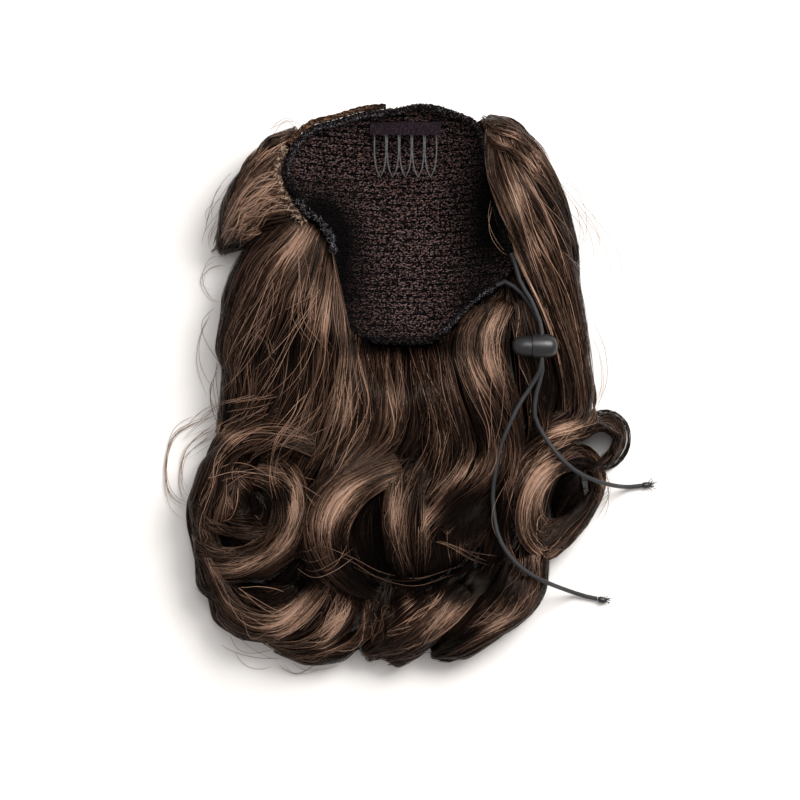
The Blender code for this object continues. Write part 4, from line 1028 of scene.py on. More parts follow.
def patch_sum(x, y, patches, start):
    """The start plus what all patches weigh at places in metres. Each patch fades out like a bell."""
    total = start.copy()
    px = x / PIXEL + PHOTO_ORIGIN[0]
    py = PHOTO_ORIGIN[1] - y / PIXEL
    for cx, cy, length, width, direction, weight in patches:
        turn = math.radians(direction)
        dx = px - cx
        dy = cy - py
        along = (dx * math.cos(turn) + dy * math.sin(turn)) / length * PATCH_FALL
        across = (-dx * math.sin(turn) + dy * math.cos(turn)) / width * PATCH_FALL
        total += weight * np.exp(-0.5 * (along ** 2 + across ** 2))
    return total


def painted_hair_light_tone(x, y):
    """How much painted highlight and painted shade the hair gets at a place."""
    return patch_sum(x, y, PAINTED_HAIR_LIGHT_AND_SHADE, np.zeros_like(x)) * PAINTED_HAIR_LIGHT_STRENGTH


def store(mesh, name, values):
    """Stores a value for each corner point of a mesh, where a material can read it."""
    made = mesh.attributes.new(name, "FLOAT", "POINT")
    made.data.foreach_set("value", values.astype(np.float32))


def net_shade(made):
    """Stores the yarn's painted shade and painted light at each place, from the net's patches."""
    count = len(made.data.vertices)
    co = np.empty(count * 3, np.float32)
    made.data.vertices.foreach_get("co", co)
    co = co.reshape(-1, 3)
    total = patch_sum(co[:, 0], co[:, 1], NET_PAINTED_LIGHT_AND_SHADE, np.ones(count))
    store(made.data, "shade", np.clip(total, 0.03, 2))


class Strands:
    """Strands gathered for one piece, each a narrow ribbon."""

    def __init__(self, name, seed):
        self.name = name
        self.rng = np.random.default_rng(seed)
        self.lines = []
        self.clumps = 0

    def sheet(self, guides, count, clumps, depth=2.6, sway=1.0, ragged=0.14, rows=18, edge=0.04, gather=0.35,
              low=0.0, shade=0.0):
        """Strands over a sheet: gathered in clumps that sway apart, layered down to a depth in mm."""
        rng = self.rng
        lines = np.stack([guide_line(guide) for guide in guides])
        width = np.linalg.norm(lines[0, FINE_ROWS // 2, :2] - lines[-1, FINE_ROWS // 2, :2]) * 1000
        clump = rng.integers(0, clumps, count)
        centre = (np.arange(clumps) + 0.5 + rng.uniform(-CLUMP_JITTER, CLUMP_JITTER, clumps)) / clumps
        size = 0.5 / clumps
        offset = rng.normal(0, STRAND_SPREAD, count)
        part = np.clip(((offset + SPREAD_EDGE) / WISP_SHARE).astype(int), 0, WISPS - 1)
        offset = offset + ((part + 0.5) * WISP_SHARE - SPREAD_EDGE - offset) * WISP_PULL
        wisp = clump * WISPS + part
        wild = rng.uniform(0, 1, count) < WILD_SHARE
        layer = rng.uniform(0, 1, count) ** DEPTH_POWER
        start = rng.uniform(0, 0.02, count)
        end = 1 - ragged * rng.uniform(0, 1, count) ** END_POWER
        clump_end = 1 - ragged * 0.5 * rng.uniform(0, 1, clumps)
        end = np.minimum(end, clump_end[clump] + 0.03)
        t = start[:, None] + (end - start)[:, None] * np.linspace(0, 1, rows)[None, :]
        phase = rng.uniform(0, 2 * np.pi, (clumps, 4))
        pace = rng.uniform(0.6, 1.7, (clumps, 4))
        broad = np.sin(2 * np.pi * pace[clump, 0, None] * t + phase[clump, 0, None])
        fine = np.sin(2 * np.pi * pace[clump, 1, None] * 1.9 * t + phase[clump, 1, None])
        waves = rng.uniform(0.7, 2.2, count)[:, None]
        own = np.sin(2 * np.pi * waves * t + rng.uniform(0, ANY_TURN, count)[:, None])
        narrow = 1 - gather * t
        u = centre[clump][:, None] + offset[:, None] * size * 2 * narrow
        loose = np.where(wild, 2.4, 0.5)[:, None]
        u = u + (broad * SWAY_BROAD + fine * SWAY_FINE) * sway / width + own * loose / width
        u = np.clip(u, -edge, 1 + edge) * (len(guides) - 1)
        k = np.clip(u.astype(int), 0, len(guides) - 2)
        f = (u - k)[..., None]
        row = t * (FINE_ROWS - 1)
        r = np.clip(row.astype(int), 0, FINE_ROWS - 2)
        g = (row - r)[..., None]
        near = lines[k, r] * (1 - g) + lines[k, r + 1] * g
        far = lines[k + 1, r] * (1 - g) + lines[k + 1, r + 1] * g
        point = near * (1 - f) + far * f
        rise = rng.uniform(*CLUMP_RISE, clumps)[clump][:, None]
        wave = np.sin(2 * np.pi * pace[clump, 2, None] * t + phase[clump, 2, None])
        crown = 1.0 - np.minimum((offset / 0.6) ** 2, 2.6)
        fade = np.minimum(1, 4 * t + 0.2)
        layer = np.where(wild, 0, layer)
        rise = rise + rng.normal(0, WISP_RISE, clumps * WISPS)[wisp][:, None]
        rise = (rise + wave * 0.9 + crown[:, None] * CROWN_RISE + own * 0.25) * fade - depth * layer[:, None]
        rise = rise + np.where(wild, rng.uniform(0.2, 1.6, count), 0)[:, None] * fade
        z = point[..., 2] + (rise - low) / 1000
        core = ground.at(point[..., 0], point[..., 1]) - CORE_SHRINK + CORE_LIFT
        z = np.where(layer[:, None] < 0.85, np.maximum(z, smoothed(core, 2)), z)
        z = np.maximum(smoothed(z, 2), LOWEST)
        point = np.stack([point[..., 0], point[..., 1], z], -1)
        # Painted highlights and painted shade from the hair's patches
        tone = BASE_TONE + shade + painted_hair_light_tone(point[..., 0], point[..., 1])
        tone = tone + rng.normal(0, CLUMP_TONE, clumps)[clump][:, None]
        tone = tone + rng.normal(0, STRAND_TONE, count)[:, None]
        tone = tone + rng.normal(0, WISP_TONE, clumps * WISPS)[wisp][:, None]
        # Deeper strands get painted shade; each clump's crown gets painted light and its edges painted shade
        tone = tone - DEPTH_PAINTED_SHADE * layer[:, None] + CROWN_PAINTED_LIGHT_AND_SHADE * crown[:, None]
        tone = tone + np.where(wild, WILD_TONE, 0)[:, None]
        thick = STRAND_RADIUS * rng.uniform(0.8, 1.15, count) * np.where(wild, 0.6, 1)
        self.add(point, thick, tone, clump)

    def strays(self, guide, count, spread):
        """Single fine hairs that leave the mass and bow on their own."""
        rng = self.rng
        line = guide_line(guide)
        t = np.linspace(0, 1, STRAY_ROWS)
        point = np.empty((count, STRAY_ROWS, 3))
        for n in range(count):
            first = rng.uniform(0, 0.25)
            last = rng.uniform(0.75, 1.0)
            row = (first + (last - first) * t) * (FINE_ROWS - 1)
            for axis in range(3):
                point[n, :, axis] = np.interp(row, np.arange(FINE_ROWS), line[:, axis])
            swing = rng.normal(0, spread / 1000, 2)
            turn = rng.uniform(0, ANY_TURN)
            pace = rng.uniform(0.25, 0.6)
            point[n, :, 0] += swing[0] * (0.6 + 0.7 * np.sin(2 * np.pi * pace * t + turn))
            point[n, :, 1] += swing[1] * (0.6 + 0.7 * np.cos(2 * np.pi * pace * t + turn))
            point[n, :, 2] += rng.uniform(0, 1.6) / 1000
        point[..., 2] = np.maximum(point[..., 2], LOWEST)
        tone = np.full((count, STRAY_ROWS), STRAY_TONE) + rng.normal(0, 0.08, count)[:, None]
        self.add(self.inside(point), np.full(count, STRAY_RADIUS), tone, np.zeros(count, int))

    def inside(self, point):
        """Bends fine hairs back within the room that fabric may stand proud of the CAD box."""
        for axis in range(2):
            side = cad_high[axis] - cad_low[axis]
            middle = (cad_low[axis] + cad_high[axis]) / 2
            free = side / 2 + ROOM_SHARE * side + ROOM - STRAY_BEND
            away = point[..., axis] - middle
            past = np.maximum(np.abs(away) - free, 0)
            kept = np.minimum(np.abs(away), free) + STRAY_BEND * np.tanh(past / STRAY_BEND)
            point[..., axis] = middle + np.sign(away) * kept
        return point

    def add(self, point, thick, tone, clump, upright=None):
        """Keeps strands for build(): rows of points, a radius for each strand, tones, clumps and facing."""
        if upright is None:
            upright = np.zeros_like(point)
            upright[..., 2] = 1.0
        self.lines.append((point, thick, tone, clump + self.clumps, upright))
        self.clumps += int(clump.max()) + 1

    def build(self, surface):
        """Makes the piece: each strand a narrow ribbon, shaded as if it were round."""
        verts = []
        faces = []
        tones = []
        warms = []
        corners = []
        normals = []
        base = 0
        for point, thick, tone, clump, upright in self.lines:
            count, rows = point.shape[:2]
            along = unit(np.gradient(point, axis=1))
            side = unit(np.cross(along, upright))
            upright = np.cross(side, along)
            roll = self.rng.normal(0, RIBBON_ROLL, count)[:, None, None]
            across = side * np.cos(roll) + upright * np.sin(roll)
            facing = upright * np.cos(roll) - side * np.sin(roll)
            t = np.linspace(0, 1, rows)
            end = (1 - t) * TAPER_END[0] + TAPER_END[1]
            taper = np.minimum(1, np.minimum(t * TAPER_START[0] + TAPER_START[1], end))
            size = (thick[:, None] * taper[None, :])[..., None]
            pair = np.stack([point - across * size, point + across * size], 2)
            pair[..., 2] = np.maximum(pair[..., 2], 0.0004)
            verts.append(pair.reshape(-1, 3))
            lean = across * math.sin(RIBBON_ROUND)
            level = facing * math.cos(RIBBON_ROUND)
            normals.append(np.stack([level - lean, level + lean], 2).reshape(-1, 3))
            tones.append(np.repeat(tone.reshape(-1), 2))
            warm = np.clip(self.rng.normal(0.45, 0.3, count), 0, 1)
            warms.append(np.repeat(warm, rows * 2))
            index = base + np.arange(count * rows * 2).reshape(count, rows, 2)
            quad = np.stack([index[:, :-1, 0], index[:, :-1, 1], index[:, 1:, 1], index[:, 1:, 0]], -1)
            faces.append(quad.reshape(-1, 4))
            left = (clump + 0.1)[:, None] * np.ones(rows - 1)[None, :] / self.clumps
            right = (clump + 0.9)[:, None] * np.ones(rows - 1)[None, :] / self.clumps
            low = np.ones(count)[:, None] * t[None, :-1]
            high = np.ones(count)[:, None] * t[None, 1:]
            uv = np.stack([np.stack([left, low], -1), np.stack([right, low], -1),
                           np.stack([right, high], -1), np.stack([left, high], -1)], -2)
            corners.append(uv.reshape(-1, 2))
            base += count * rows * 2
        made = make_object(self.name, np.concatenate(verts).tolist(), np.concatenate(faces).tolist(), surface)
        mesh = made.data
        store(mesh, "tone", np.concatenate(tones))
        store(mesh, "warmth", np.concatenate(warms))
        layer = mesh.uv_layers.new(name="OFBake")
        layer.data.foreach_set("uv", np.concatenate(corners).astype(np.float32).ravel())
        mesh.normals_split_custom_set_from_vertices(np.concatenate(normals).tolist())
        put_on(made)


class Flow:
    """Level direction in which a group's hair runs, spread over a grid from its guides."""

    def __init__(self, guides):
        spots = []
        ways = []
        for guide in guides:
            line = guide_line(guide)[::2, :2]
            way = np.gradient(line, axis=0)
            spots.append(line)
            ways.append(unit(way))
        spots = np.concatenate(spots)
        ways = np.concatenate(ways)
        self.low = spots.min(0) - GRID_MARGIN
        self.shape = ((spots.max(0) + GRID_MARGIN - self.low) / FLOW_STEP).astype(int) + 1
        across = self.low[0] + np.arange(self.shape[0]) * FLOW_STEP
        up = self.low[1] + np.arange(self.shape[1]) * FLOW_STEP
        grid = np.stack(np.meshgrid(across, up, indexing="ij"), -1).reshape(-1, 2)
        made = []
        for block in np.array_split(grid, max(1, len(grid) // 800)):
            gap = ((block[:, None, :] - spots[None, :, :]) ** 2).sum(-1)
            lead = ways[gap.argmin(1)]
            weight = 1 / (gap + 0.003 ** 2) ** 2 * np.sign(lead @ ways.T)
            made.append(unit(weight @ ways))
        self.ways = np.concatenate(made).reshape(self.shape[0], self.shape[1], 2)

    def at(self, x, y):
        i = min(max(int((x - self.low[0]) / FLOW_STEP + 0.5), 0), self.shape[0] - 1)
        j = min(max(int((y - self.low[1]) / FLOW_STEP + 0.5), 0), self.shape[1] - 1)
        return self.ways[i, j]


def hair_surface():
    """One search tree over all the CAD's hair, with the faces' node names."""
    verts = []
    faces = []
    owners = []
    for name in HAIR_NODES:
        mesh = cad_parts[name].data
        base = len(verts)
        verts += [v.co[:] for v in mesh.vertices]
        faces += [tuple(base + i for i in p.vertices) for p in mesh.polygons]
        owners += [name] * len(mesh.polygons)
    return BVHTree.FromPolygons(verts, faces), np.array(verts), faces, owners


hair_tree, all_verts, all_faces, all_owners = hair_surface()


def skin_seeds(node, count, rng):
    """Places and normals spread evenly over the part of a hair solid that can be seen."""
    spots = []
    normals = []
    areas = []
    for face, owner in zip(all_faces, all_owners):
        if owner != node:
            continue
        for k in range(1, len(face) - 1):
            a, b, c = all_verts[face[0]], all_verts[face[k]], all_verts[face[k + 1]]
            cross = np.cross(b - a, c - a)
            size = np.linalg.norm(cross)
            if size < 1e-12 or cross[2] / size < SKIN_UNDER:
                continue
            spots.append((a, b, c))
            normals.append(cross / size)
            areas.append(size)
    spots = np.array(spots)
    normals = np.array(normals)
    areas = np.array(areas)
    chosen = rng.choice(len(areas), count * 3, p=areas / areas.sum())
    u = rng.uniform(0, 1, (count * 3, 1))
    v = rng.uniform(0, 1, (count * 3, 1))
    fold = u + v > 1
    u = np.where(fold, 1 - u, u)
    v = np.where(fold, 1 - v, v)
    corner = spots[chosen]
    place_at = corner[:, 0] + (corner[:, 1] - corner[:, 0]) * u + (corner[:, 2] - corner[:, 0]) * v
    normal = normals[chosen]
    out = place_at + normal * SKIN_PROUD
    seen = (ground.at(out[:, 0], out[:, 1]) < place_at[:, 2] + SKIN_PROUD) & (place_at[:, 2] > 0.002)
    return place_at[np.flatnonzero(seen)[:count]]


def skin_trace(start, flow, sign, steps):
    """Steps along the hair's own surface in the direction in which the hair runs."""
    points = []
    normals = []
    spot = Vector(start)
    heading = None
    for _ in range(steps):
        hit, normal = hair_tree.find_nearest(spot)[:2]
        way = flow.at(hit.x, hit.y)
        move = Vector((way[0] * sign, way[1] * sign, 0))
        move -= normal * move.dot(normal)
        if move.length < SKIN_STEEP:
            move += Vector((0, 0, -SKIN_FALL)) - normal * (-SKIN_FALL * normal.z)
        move.normalize()
        if heading:
            move = (move + heading * SKIN_HOLD).normalized()
        heading = move
        points.append(hit)
        normals.append(normal)
        spot = hit + move * SKIN_STEP
        if spot.z < SKIN_FLOOR:
            break
    return points, normals


def corner_share(x, y):
    """How far the blunt corner's easing reaches a place: 1 at the corner, 0 past its reach."""
    corner = place(*BLUNT_CORNER[:2])
    return np.clip(1 - np.hypot(x - corner[0], y - corner[1]) / (BLUNT_CORNER[2] * PIXEL), 0, 1)


def skin(strands, node, guides, count):
    """Covers a hair solid's own surface, sides too, with strands that follow its guides."""
    rng = strands.rng
    flow = Flow(guides)
    rows = SKIN_BACK + SKIN_AHEAD + 1
    seeds = skin_seeds(node, count, rng)
    point = np.empty((len(seeds), rows, 3))
    upright = np.empty((len(seeds), rows, 3))
    for n, seed in enumerate(seeds):
        behind, behind_normals = skin_trace(seed, flow, -1, SKIN_BACK + 1)
        front, front_normals = skin_trace(seed, flow, 1, SKIN_AHEAD + 1)
        line = np.array(behind[:0:-1] + front)
        facing = np.array(behind_normals[:0:-1] + front_normals)
        share = np.linspace(0, len(line) - 1, rows)
        for axis in range(3):
            point[n, :, axis] = np.interp(share, np.arange(len(line)), line[:, axis])
            upright[n, :, axis] = np.interp(share, np.arange(len(line)), facing[:, axis])
    point = np.stack([smoothed(point[..., axis], 3) for axis in range(3)], -1)
    upright = unit(np.stack([smoothed(upright[..., axis], 4) for axis in range(3)], -1))
    layer = rng.uniform(0, 1, len(seeds))
    lift = SKIN_DEPTH + (SKIN_TOP - SKIN_DEPTH) * layer
    t = np.linspace(0, 1, rows)
    waves = rng.uniform(0.3, 1.1, len(seeds))[:, None]
    bow = np.sin(2 * np.pi * waves * t + rng.uniform(0, ANY_TURN, len(seeds))[:, None])
    side = np.cross(unit(np.gradient(point, axis=1)), upright)
    point = point + upright * lift[:, None, None] + side * (bow * SKIN_BOW)[..., None]
    point[..., 2] = np.maximum(point[..., 2], LOWEST)
    point[..., :2] += corner_share(point[..., 0], point[..., 1])[..., None] * np.array(CORNER_EASE)
    knots = rng.choice(len(seeds), max(4, len(seeds) // 30), replace=False)
    middle = point[:, rows // 2]
    clump = ((middle[:, None, :] - middle[knots][None, :, :]) ** 2).sum(-1).argmin(1)
    # Painted highlights and shade from the hair's patches; lower layers get painted shade, steep sides
    # painted light
    tone = BASE_TONE + painted_hair_light_tone(point[..., 0], point[..., 1])
    tone = tone + rng.normal(0, 0.07, len(knots))[clump][:, None] + rng.normal(0, 0.10, len(seeds))[:, None]
    tone = tone - 0.16 * (1 - layer)[:, None] + 0.13 * (1 - np.clip(upright[..., 2], 0, 1))
    strands.add(point, np.full(len(seeds), STRAND_RADIUS), tone, clump, upright)


def hair_core(node, surface):
    """A CAD hair group a little thinner and dark, which the strands lie on: its near-black is painted shade
    in the gaps.
    """
    work = bmesh.new()
    work.from_mesh(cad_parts[node].data)
    bmesh.ops.remove_doubles(work, verts=work.verts, dist=CORE_WELD)
    work.normal_update()
    for vert in work.verts:
        if node == "hair_fall_right":
            share = corner_share(vert.co.x, vert.co.y)
            vert.co.x += CORNER_EASE[0] * share
            vert.co.y += CORNER_EASE[1] * share
        if vert.co.z > 0.001:
            vert.co -= vert.normal * CORE_SHRINK
            vert.co.z = max(vert.co.z, 0.0005)
        else:
            vert.co -= Vector((vert.normal.x, vert.normal.y, 0)) * CORE_SHRINK
            vert.co.z += CORE_LIFT
    mesh = bpy.data.meshes.new(node + "_core")
    work.to_mesh(mesh)
    work.free()
    mesh.materials.append(surface)
    mesh.shade_smooth()
    put_on(link_object(node + "_core", mesh), node)


def even_steps(points, count):
    """Evenly spaced rows of the straight runs through the given points."""
    line = np.array(points, float)
    step = np.linalg.norm(np.diff(line, axis=0), axis=1)
    length = np.concatenate([[0], np.cumsum(step)])
    wanted = np.linspace(0, length[-1], count)
    return np.stack([np.interp(wanted, length, line[:, k]) for k in range(3)], 1)


def bed_guides():
    """Hair on the outer side of the bed, from under the rim down to the surface."""
    guides = []
    for angle in BED_ANGLES:
        top = rim_point(angle, 0.001, -0.006)
        out = rim_out(angle)
        lean = Vector((-out.y, out.x, 0)) * BED_LEAN
        line = []
        for t, reach in BED_DROP:
            point = top + out * reach + lean * t
            line.append((point.x, point.y, top.z * (1 - t) + 0.001 * t))
        guides.append(even_steps(line, FINE_ROWS))
    return guides


def bed_strands(strands, count, clumps):
    """Strands down the outer side of the bed, in clumps."""
    rng = strands.rng
    lines = np.stack(bed_guides())
    clump = rng.integers(0, clumps, count)
    centre = (np.arange(clumps) + 0.5) / clumps
    u = centre[clump] + rng.normal(0, 0.5, count) / clumps
    t = np.linspace(0, 1, BED_ROWS)[None, :] * (1 - 0.1 * rng.uniform(0, 1, count)[:, None])
    phase = rng.uniform(0, ANY_TURN, clumps)
    u = u[:, None] + 0.012 * np.sin(3.5 * t + phase[clump][:, None])
    u = np.clip(u, 0, 1) * (len(lines) - 1)
    k = np.clip(u.astype(int), 0, len(lines) - 2)
    f = (u - k)[..., None]
    r = np.clip((t * (FINE_ROWS - 1)).astype(int), 0, FINE_ROWS - 2)
    point = lines[k, r] * (1 - f) + lines[k + 1, r] * f
    push = rng.uniform(-0.0012, 0.0012, count)[:, None]
    point[..., :2] += unit(point[..., :2] - np.array(CAP_CENTRE)) * push[..., None]
    point[..., 2] = np.maximum(point[..., 2], LOWEST)
    tone = np.full(point.shape[:2], BASE_TONE + 0.02) + rng.normal(0, 0.08, clumps)[clump][:, None]
    tone = tone + rng.normal(0, 0.06, count)[:, None]
    strands.add(point, np.full(count, STRAND_RADIUS), tone, clump)


# Net, casing, bands and comb


def tube_mesh(lines, radius, sides, closed_ends=True):
    """Vertices and faces of round tubes along lines."""
    verts = []
    faces = []
    for line in lines:
        line = np.asarray(line, float)
        rows = len(line)
        along = unit(np.gradient(line, axis=0))
        side = np.cross(along, (0, 0, 1.0))
        side[np.linalg.norm(side, axis=1) < 0.001] = (1, 0, 0)
        side = unit(side)
        upright = np.cross(side, along)
        base = len(verts)
        for k in range(rows):
            for corner in range(sides):
                turn = 2 * math.pi * corner / sides
                spoke = side[k] * math.cos(turn) + upright[k] * math.sin(turn)
                verts.append(tuple(line[k] + spoke * radius))
        for k in range(rows - 1):
            for corner in range(sides):
                other = (corner + 1) % sides
                a = base + k * sides
                faces.append((a + corner, a + other, a + sides + other, a + sides + corner))
        if closed_ends:
            faces.append(tuple(base + corner for corner in reversed(range(sides))))
            faces.append(tuple(base + (rows - 1) * sides + corner for corner in range(sides)))
    return verts, faces


def tube_piece(name, lines, radius, sides, surface, node=None, shaded=True, closed_ends=True):
    """One piece of the hairpiece made of tubes."""
    verts, faces = tube_mesh(lines, radius, sides, closed_ends)
    made = make_object(name, verts, faces, surface)
    if shaded:
        net_shade(made)
    put_on(made, node)
    return made


def clad(name, node, surface, shaded=False):
    """A CAD node's own form under its final material."""
    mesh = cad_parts[node].data.copy()
    mesh.materials.clear()
    mesh.materials.append(surface)
    made = link_object(name, mesh)
    if shaded:
        net_shade(made)
    put_on(made, node)


def knit_line(x, level, ply, row, phases, twist):
    """Level place and bob of a net yarn at x: it sags, waves and twists, and parts round the eyelets."""
    across = (x - CAP_CENTRE[0]) / (CAP_WIDTH / 2)
    sag = -NET_SAG * (1 - across * across)
    wave = sum(size * math.sin(x * rate + phase) for (size, rate), phase in zip(NET_WAVES, phases))
    turn = 2 * math.pi * x / NET_TWIST + twist
    y = level + sag + wave + TWIST_SIDE * math.sin(turn)
    if ply:
        stitch = x / NET_STITCH + 0.5 * ((row + (ply < 0)) % 2)
        near = (stitch - math.floor(stitch) - 0.5) * NET_STITCH / EYELET
        y -= ply * EYELET_RISE * math.exp(-near * near)
    return y, TWIST_BOB * math.cos(turn)


def inside_net(x, y):
    """Whether a place lies within the rim's edge."""
    dx = (x - CAP_CENTRE[0]) / (CAP_WIDTH / 2)
    dy = (y - CAP_CENTRE[1]) / (CAP_LENGTH / 2)
    return math.hypot(dx, dy) / rim_row(math.degrees(math.atan2(dy, dx)))[0] < NET_EDGE


def net_rows(surface, fleck_surface):
    """Knitted bands along the bowl, each of three yarns that part round small eyelets, and their fuzz."""
    tree = node_tree("net_cap")
    rng = np.random.default_rng(41)
    down = Vector((0, 0, -1))
    lines = []
    low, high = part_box("net_cap")
    for row in range(int((high.y - low.y) / NET_PITCH) + 4):
        phases = rng.uniform(0, ANY_TURN, 2)
        for ply in (-1, 0, 1):
            line = []
            twist = rng.uniform(0, ANY_TURN)
            level = high.y - row * NET_PITCH + NET_START + ply * NET_PITCH / 3
            x = low.x
            while x < high.x:
                y, bob = knit_line(x, level, ply, row, phases, twist)
                hit = tree.ray_cast(Vector((x, y, RAY_TOP)), down)[0] if inside_net(x, y) else None
                if hit:
                    line.append((x, y, hit.z + NET_YARN * YARN_SIT + bob))
                else:
                    if len(line) > 3:
                        lines.append(line)
                    line = []
                x += NET_TWIST / 4
            if len(line) > 3:
                lines.append(line)
    tube_piece("net_rows", lines, NET_YARN, 3, surface, closed_ends=False)
    fuzz = []
    for _ in range(FUZZ_COUNT):
        line = lines[rng.integers(len(lines))]
        spot = np.array(line[rng.integers(len(line))])
        heading = rng.uniform(0, ANY_TURN)
        bow = rng.normal(0, FUZZ_BOW, 2)
        length = rng.uniform(*FUZZ_LENGTH)
        lift = rng.uniform(0, FUZZ_LIFT)
        end = spot + np.array([math.cos(heading) * length, math.sin(heading) * length, lift])
        middle = (spot + end) / 2 + np.array([bow[0], bow[1], FUZZ_LIFT / 2])
        start = spot + np.array([0, 0, NET_YARN * 0.6])
        fuzz.append([start, middle, end])
    tube_piece("net_fuzz", fuzz, FUZZ_RADIUS, 3, fleck_surface)


def casing(surface, yarn_surface):
    """The hem: a dark fabric roll with thin uneven stitches over it."""
    path = [rim_point(a, -NET_WALL / 2, CASING_DIAMETER / 2 + GAP)
            for a in np.linspace(CASING_START, CASING_END, 150)]
    tube_piece("rim_hem", [path], CASING_DIAMETER / 2 * HEM_SHARE, 10, surface, "rim_casing")
    rng = np.random.default_rng(17)
    radius = CASING_DIAMETER / 2 * STITCH_SHARE
    lines = []
    for angle in np.arange(CASING_START + 1, CASING_END - 1, STITCH_STEP):
        middle = rng.uniform(*STITCH_TURN)
        half = rng.uniform(*STITCH_HALF)
        slant = rng.uniform(-STITCH_SLANT, STITCH_SLANT)
        away = rim_out(angle)
        line = []
        for share in (-1, -0.5, 0, 0.5, 1):
            turn = middle + half * share
            spot = rim_point(angle + slant * share, -NET_WALL / 2, CASING_DIAMETER / 2 + GAP)
            line.append(spot + away * math.cos(turn) * radius + Vector((0, 0, math.sin(turn) * radius)))
        lines.append(line)
    tube_piece("rim_hem_stitches", lines, STITCH_RADIUS, 3, yarn_surface)


def band_stitches(name, start, end, outs, rise, length, slope, count, radius, surface, seed):
    """Short oblique stitches laid over a sewn weft band."""
    rng = np.random.default_rng(seed)
    lines = []
    for n in range(count):
        angle = start + (end - start) * (n + rng.uniform(0, 1)) / count
        out = rng.uniform(*outs)
        base = rim_point(angle, out, rise + rng.uniform(0, 0.0006))
        away = rim_out(angle)
        along = Vector((-away.y, away.x, 0))
        tilt = slope * (1 if n % 2 else -0.8) + rng.normal(0, 0.25)
        heading = away * math.cos(tilt) + along * math.sin(tilt)
        half = heading * length * rng.uniform(0.35, 0.65)
        sink = Vector((0, 0, TAIL_DROP))
        lines.append([base - half - sink, base + Vector((0, 0, CROWN_LIFT)), base + half - sink])
    tube_piece(name, lines, radius, 4, surface, shaded=False)


def band_yarns(name, start, end, outs, rise, radius, surface, seed):
    """Yarns that run along a sewn weft band."""
    rng = np.random.default_rng(seed)
    lines = []
    for out in outs:
        turn = rng.uniform(0, ANY_TURN)
        line = []
        for angle in np.linspace(start, end, 90):
            sway = YARN_SWAY * math.sin(angle * YARN_SWAY_RATE + turn) + rng.normal(0, YARN_JITTER)
            line.append(rim_point(angle, out + sway, rise + rng.normal(0, YARN_JITTER)))
        lines.append(line)
    tube_piece(name, lines, radius, 5, surface)


# Drawstring


def cord_route(start_angle, heading, start, level, end):
    """Cord from the casing's end over the given points, straight through the lock, and on to its tip."""
    rise = CASING_DIAMETER / 2 + GAP
    seat = rim_point(start_angle, -NET_WALL / 2, rise)
    along = (rim_point(start_angle + heading, -NET_WALL / 2, rise) - seat).normalized()
    mouth = Vector(LOCK_CENTRE) + Vector(((BUTTON_LENGTH - BARREL_LENGTH) / 2, 0, 0))
    window = mouth + Vector((WINDOW_INSET, 0, level * (CORD_DIAMETER + GAP) / 2))
    half = Vector((0, BARREL_DIAMETER / 2, 0))
    before = [seat + along * 2 * GAP, seat + along * CORD_DIAMETER * 2] + [Vector(p) for p in start]
    before += [window + half * 1.5, window + half * 1.1]
    after = [window - half * 1.1, window - half * 1.5] + [Vector(p) for p in end]
    return smooth_route(before, CORD_STEP) + smooth_route(after, CORD_STEP)


def cord_piece(name, points, node, surface):
    """A free end of the drawstring as one curve, in place of its CAD node."""
    data = bpy.data.curves.new(name, "CURVE")
    data.dimensions = "3D"
    data.bevel_depth = CORD_DIAMETER / 2
    data.bevel_resolution = 4
    data.use_fill_caps = True
    line = data.splines.new("POLY")
    line.points.add(len(points) - 1)
    for spot, point in zip(line.points, points):
        spot.co = (*point, 1.0)
    data.materials.append(surface)
    made = link_object(name, data)
    put_on(made, node)


def tip_fray(name, points, reach, surface, seed):
    """Loose fibres past the melted bead of a cord."""
    rng = np.random.default_rng(seed)
    along = np.array(points[-1] - points[-2])
    along /= np.linalg.norm(along)
    end = np.array(points[-1]) + along * BEAD_LENGTH
    lines = []
    for _ in range(FRAY_COUNT):
        turn = rng.normal(0, FRAY_SPREAD)
        heading = np.array([along[0] * math.cos(turn) - along[1] * math.sin(turn),
                            along[0] * math.sin(turn) + along[1] * math.cos(turn), rng.uniform(-0.05, 0.25)])
        length = reach * rng.uniform(0.4, 1.0)
        start = end + rng.normal(0, FRAY_JITTER, 3) - along * 0.001
        start[2] = max(start[2], LOWEST)
        stop = start + heading * length
        middle = (start + stop) / 2 + rng.normal(0, FRAY_JITTER, 3)
        stop[2] = max(stop[2], 0.0004)
        middle[2] = max(middle[2], 0.0005)
        lines.append([start, middle, stop])
    return tube_piece(name, lines, FRAY_RADIUS, 4, surface, shaded=False)


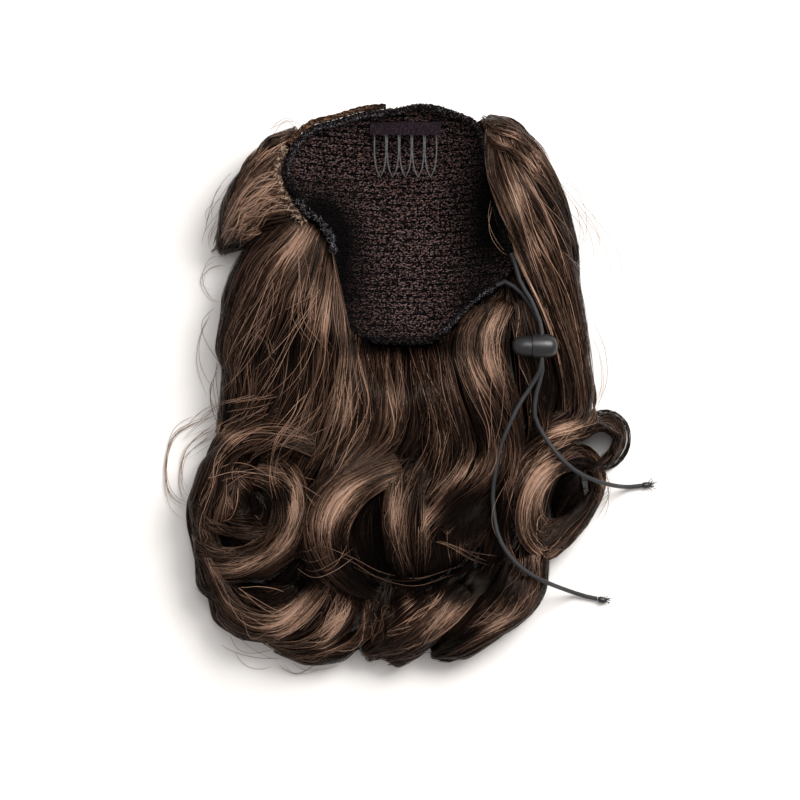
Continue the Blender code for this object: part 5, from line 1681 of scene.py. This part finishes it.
def add_cords():
    """Both free ends of the drawstring with their frayed tips, and the plastic lock."""
    braid = plain_material("cord_braid", (0.012, 0.012, 0.014), 0.62, 0.0, 0.45, (1800.0, 3.0),
                           [(0.3, (0.007, 0.007, 0.009)), (0.75, (0.030, 0.030, 0.034))], (0.8, 0.0003))
    plastic = plain_material("lock_plastic", (0.012, 0.0115, 0.0125), 0.34, 0.0, 0.5, (1400.0, 3.0),
                             [(0.3, (0.009, 0.0085, 0.0095)), (0.75, (0.017, 0.016, 0.0175))], (0.25, 0.0001),
                             (0.28, 0.44))
    upper = cord_route(CASING_START, -2, CORD_UPPER_START, 1, CORD_UPPER_END)
    lower = cord_route(CASING_END, 2, CORD_LOWER_START, -1, CORD_LOWER_END)
    fray_upper = tip_fray("cord_fray_upper", upper, 0.0042, braid, 3)
    fray_lower = tip_fray("cord_fray_lower", lower, 0.0050, braid, 8)
    cord_piece("drawstring_upper", upper, "cord_upper", braid)
    cord_piece("drawstring_lower", lower, "cord_lower", braid)
    for node in ("lock_barrel", "lock_button", "cord_tip_upper", "cord_tip_lower"):
        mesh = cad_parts[node].data
        mesh.shade_smooth()
        smooth_normals(mesh)
        mesh.materials.clear()
        mesh.materials.append(plastic)


def add_cores():
    """The CAD's hair, a little thinner and near-black: painted shade that shows in the gaps between strands.
    """
    look = plain_material("hair_core", (0.008, 0.005, 0.004), 0.85, 0.0, 0.04, (260.0, 4.0),
                          [(0.3, (0.0012, 0.0007, 0.0006)), (0.7, (0.0090, 0.0046, 0.0034))], (0.8, 0.0006),
                          stretch=(1.0, 0.25, 1.0))
    for node in sorted(HAIR_NODES):
        hair_core(node, look)


def add_net():
    """Net, hem, weft bands, comb and its tape."""
    steel = plain_material("comb_metal", (0.16, 0.16, 0.17), 0.38, 0.45, 0.6, (700.0, 4.0),
                           [(0.3, (0.09, 0.09, 0.10)), (0.75, (0.23, 0.23, 0.24))], None, (0.28, 0.55))
    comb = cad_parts["comb"].data
    comb.materials.clear()
    comb.materials.append(steel)
    yarn = {name: yarn_material(name, *settings) for name, settings in YARNS.items()}
    orange = yarn["weft_orange"]
    # The net's shell, near-black: painted shade seen through the eyelets
    clad("net_shell", "net_cap", yarn["net_shade"])
    net_rows(yarn["net_yarn"], yarn["net_fibres"])
    casing(yarn["hem_yarn"], yarn["hem_stitch"])
    clad("weft_band_top_tape", "weft_band_top", orange, True)
    clad("weft_band_left_tape", "weft_band_left", yarn["weft_beige_base"], True)
    band_yarns("weft_top_yarns", 97, 145, (0.0020, 0.0029, 0.0038), 0.0017, 0.00042, orange, 5)
    for name, *settings, look, seed in STITCHES:
        band_stitches(name, *settings, yarn[look], seed)
    clad("comb_tape_cloth", "comb_tape", yarn["tape_cloth"])


def add_strands():
    """The strands of each group of hair, the thin locks and the stray hairs."""
    look = hair_material()
    for name, seed, node, skin_count, skin_guides, sheets in HAIR_GROUPS:
        strands = Strands(name, seed)
        for guides, count, clumps, settings in sheets:
            strands.sheet(guides, count, clumps, **settings)
        skin(strands, node, skin_guides, skin_count)
        strands.build(look)

    thin = Strands("thin_locks", 20)
    for width, depth, guide in THIN_LOCKS:
        thin.sheet(beside(guide, width), THIN_STRANDS, THIN_CLUMPS, depth=depth, rows=18, sway=0.4, edge=0.1)
    bed_strands(thin, BED_STRANDS, BED_CLUMPS)
    thin.build(look)

    loose = Strands("stray_hairs", 21)
    for count, spread, guide in STRAYS:
        loose.strays(guide, count, spread)
    loose.build(look)


def main():
    add_camera()
    add_stage()
    add_cords()
    add_cores()
    add_net()
    add_strands()


main()
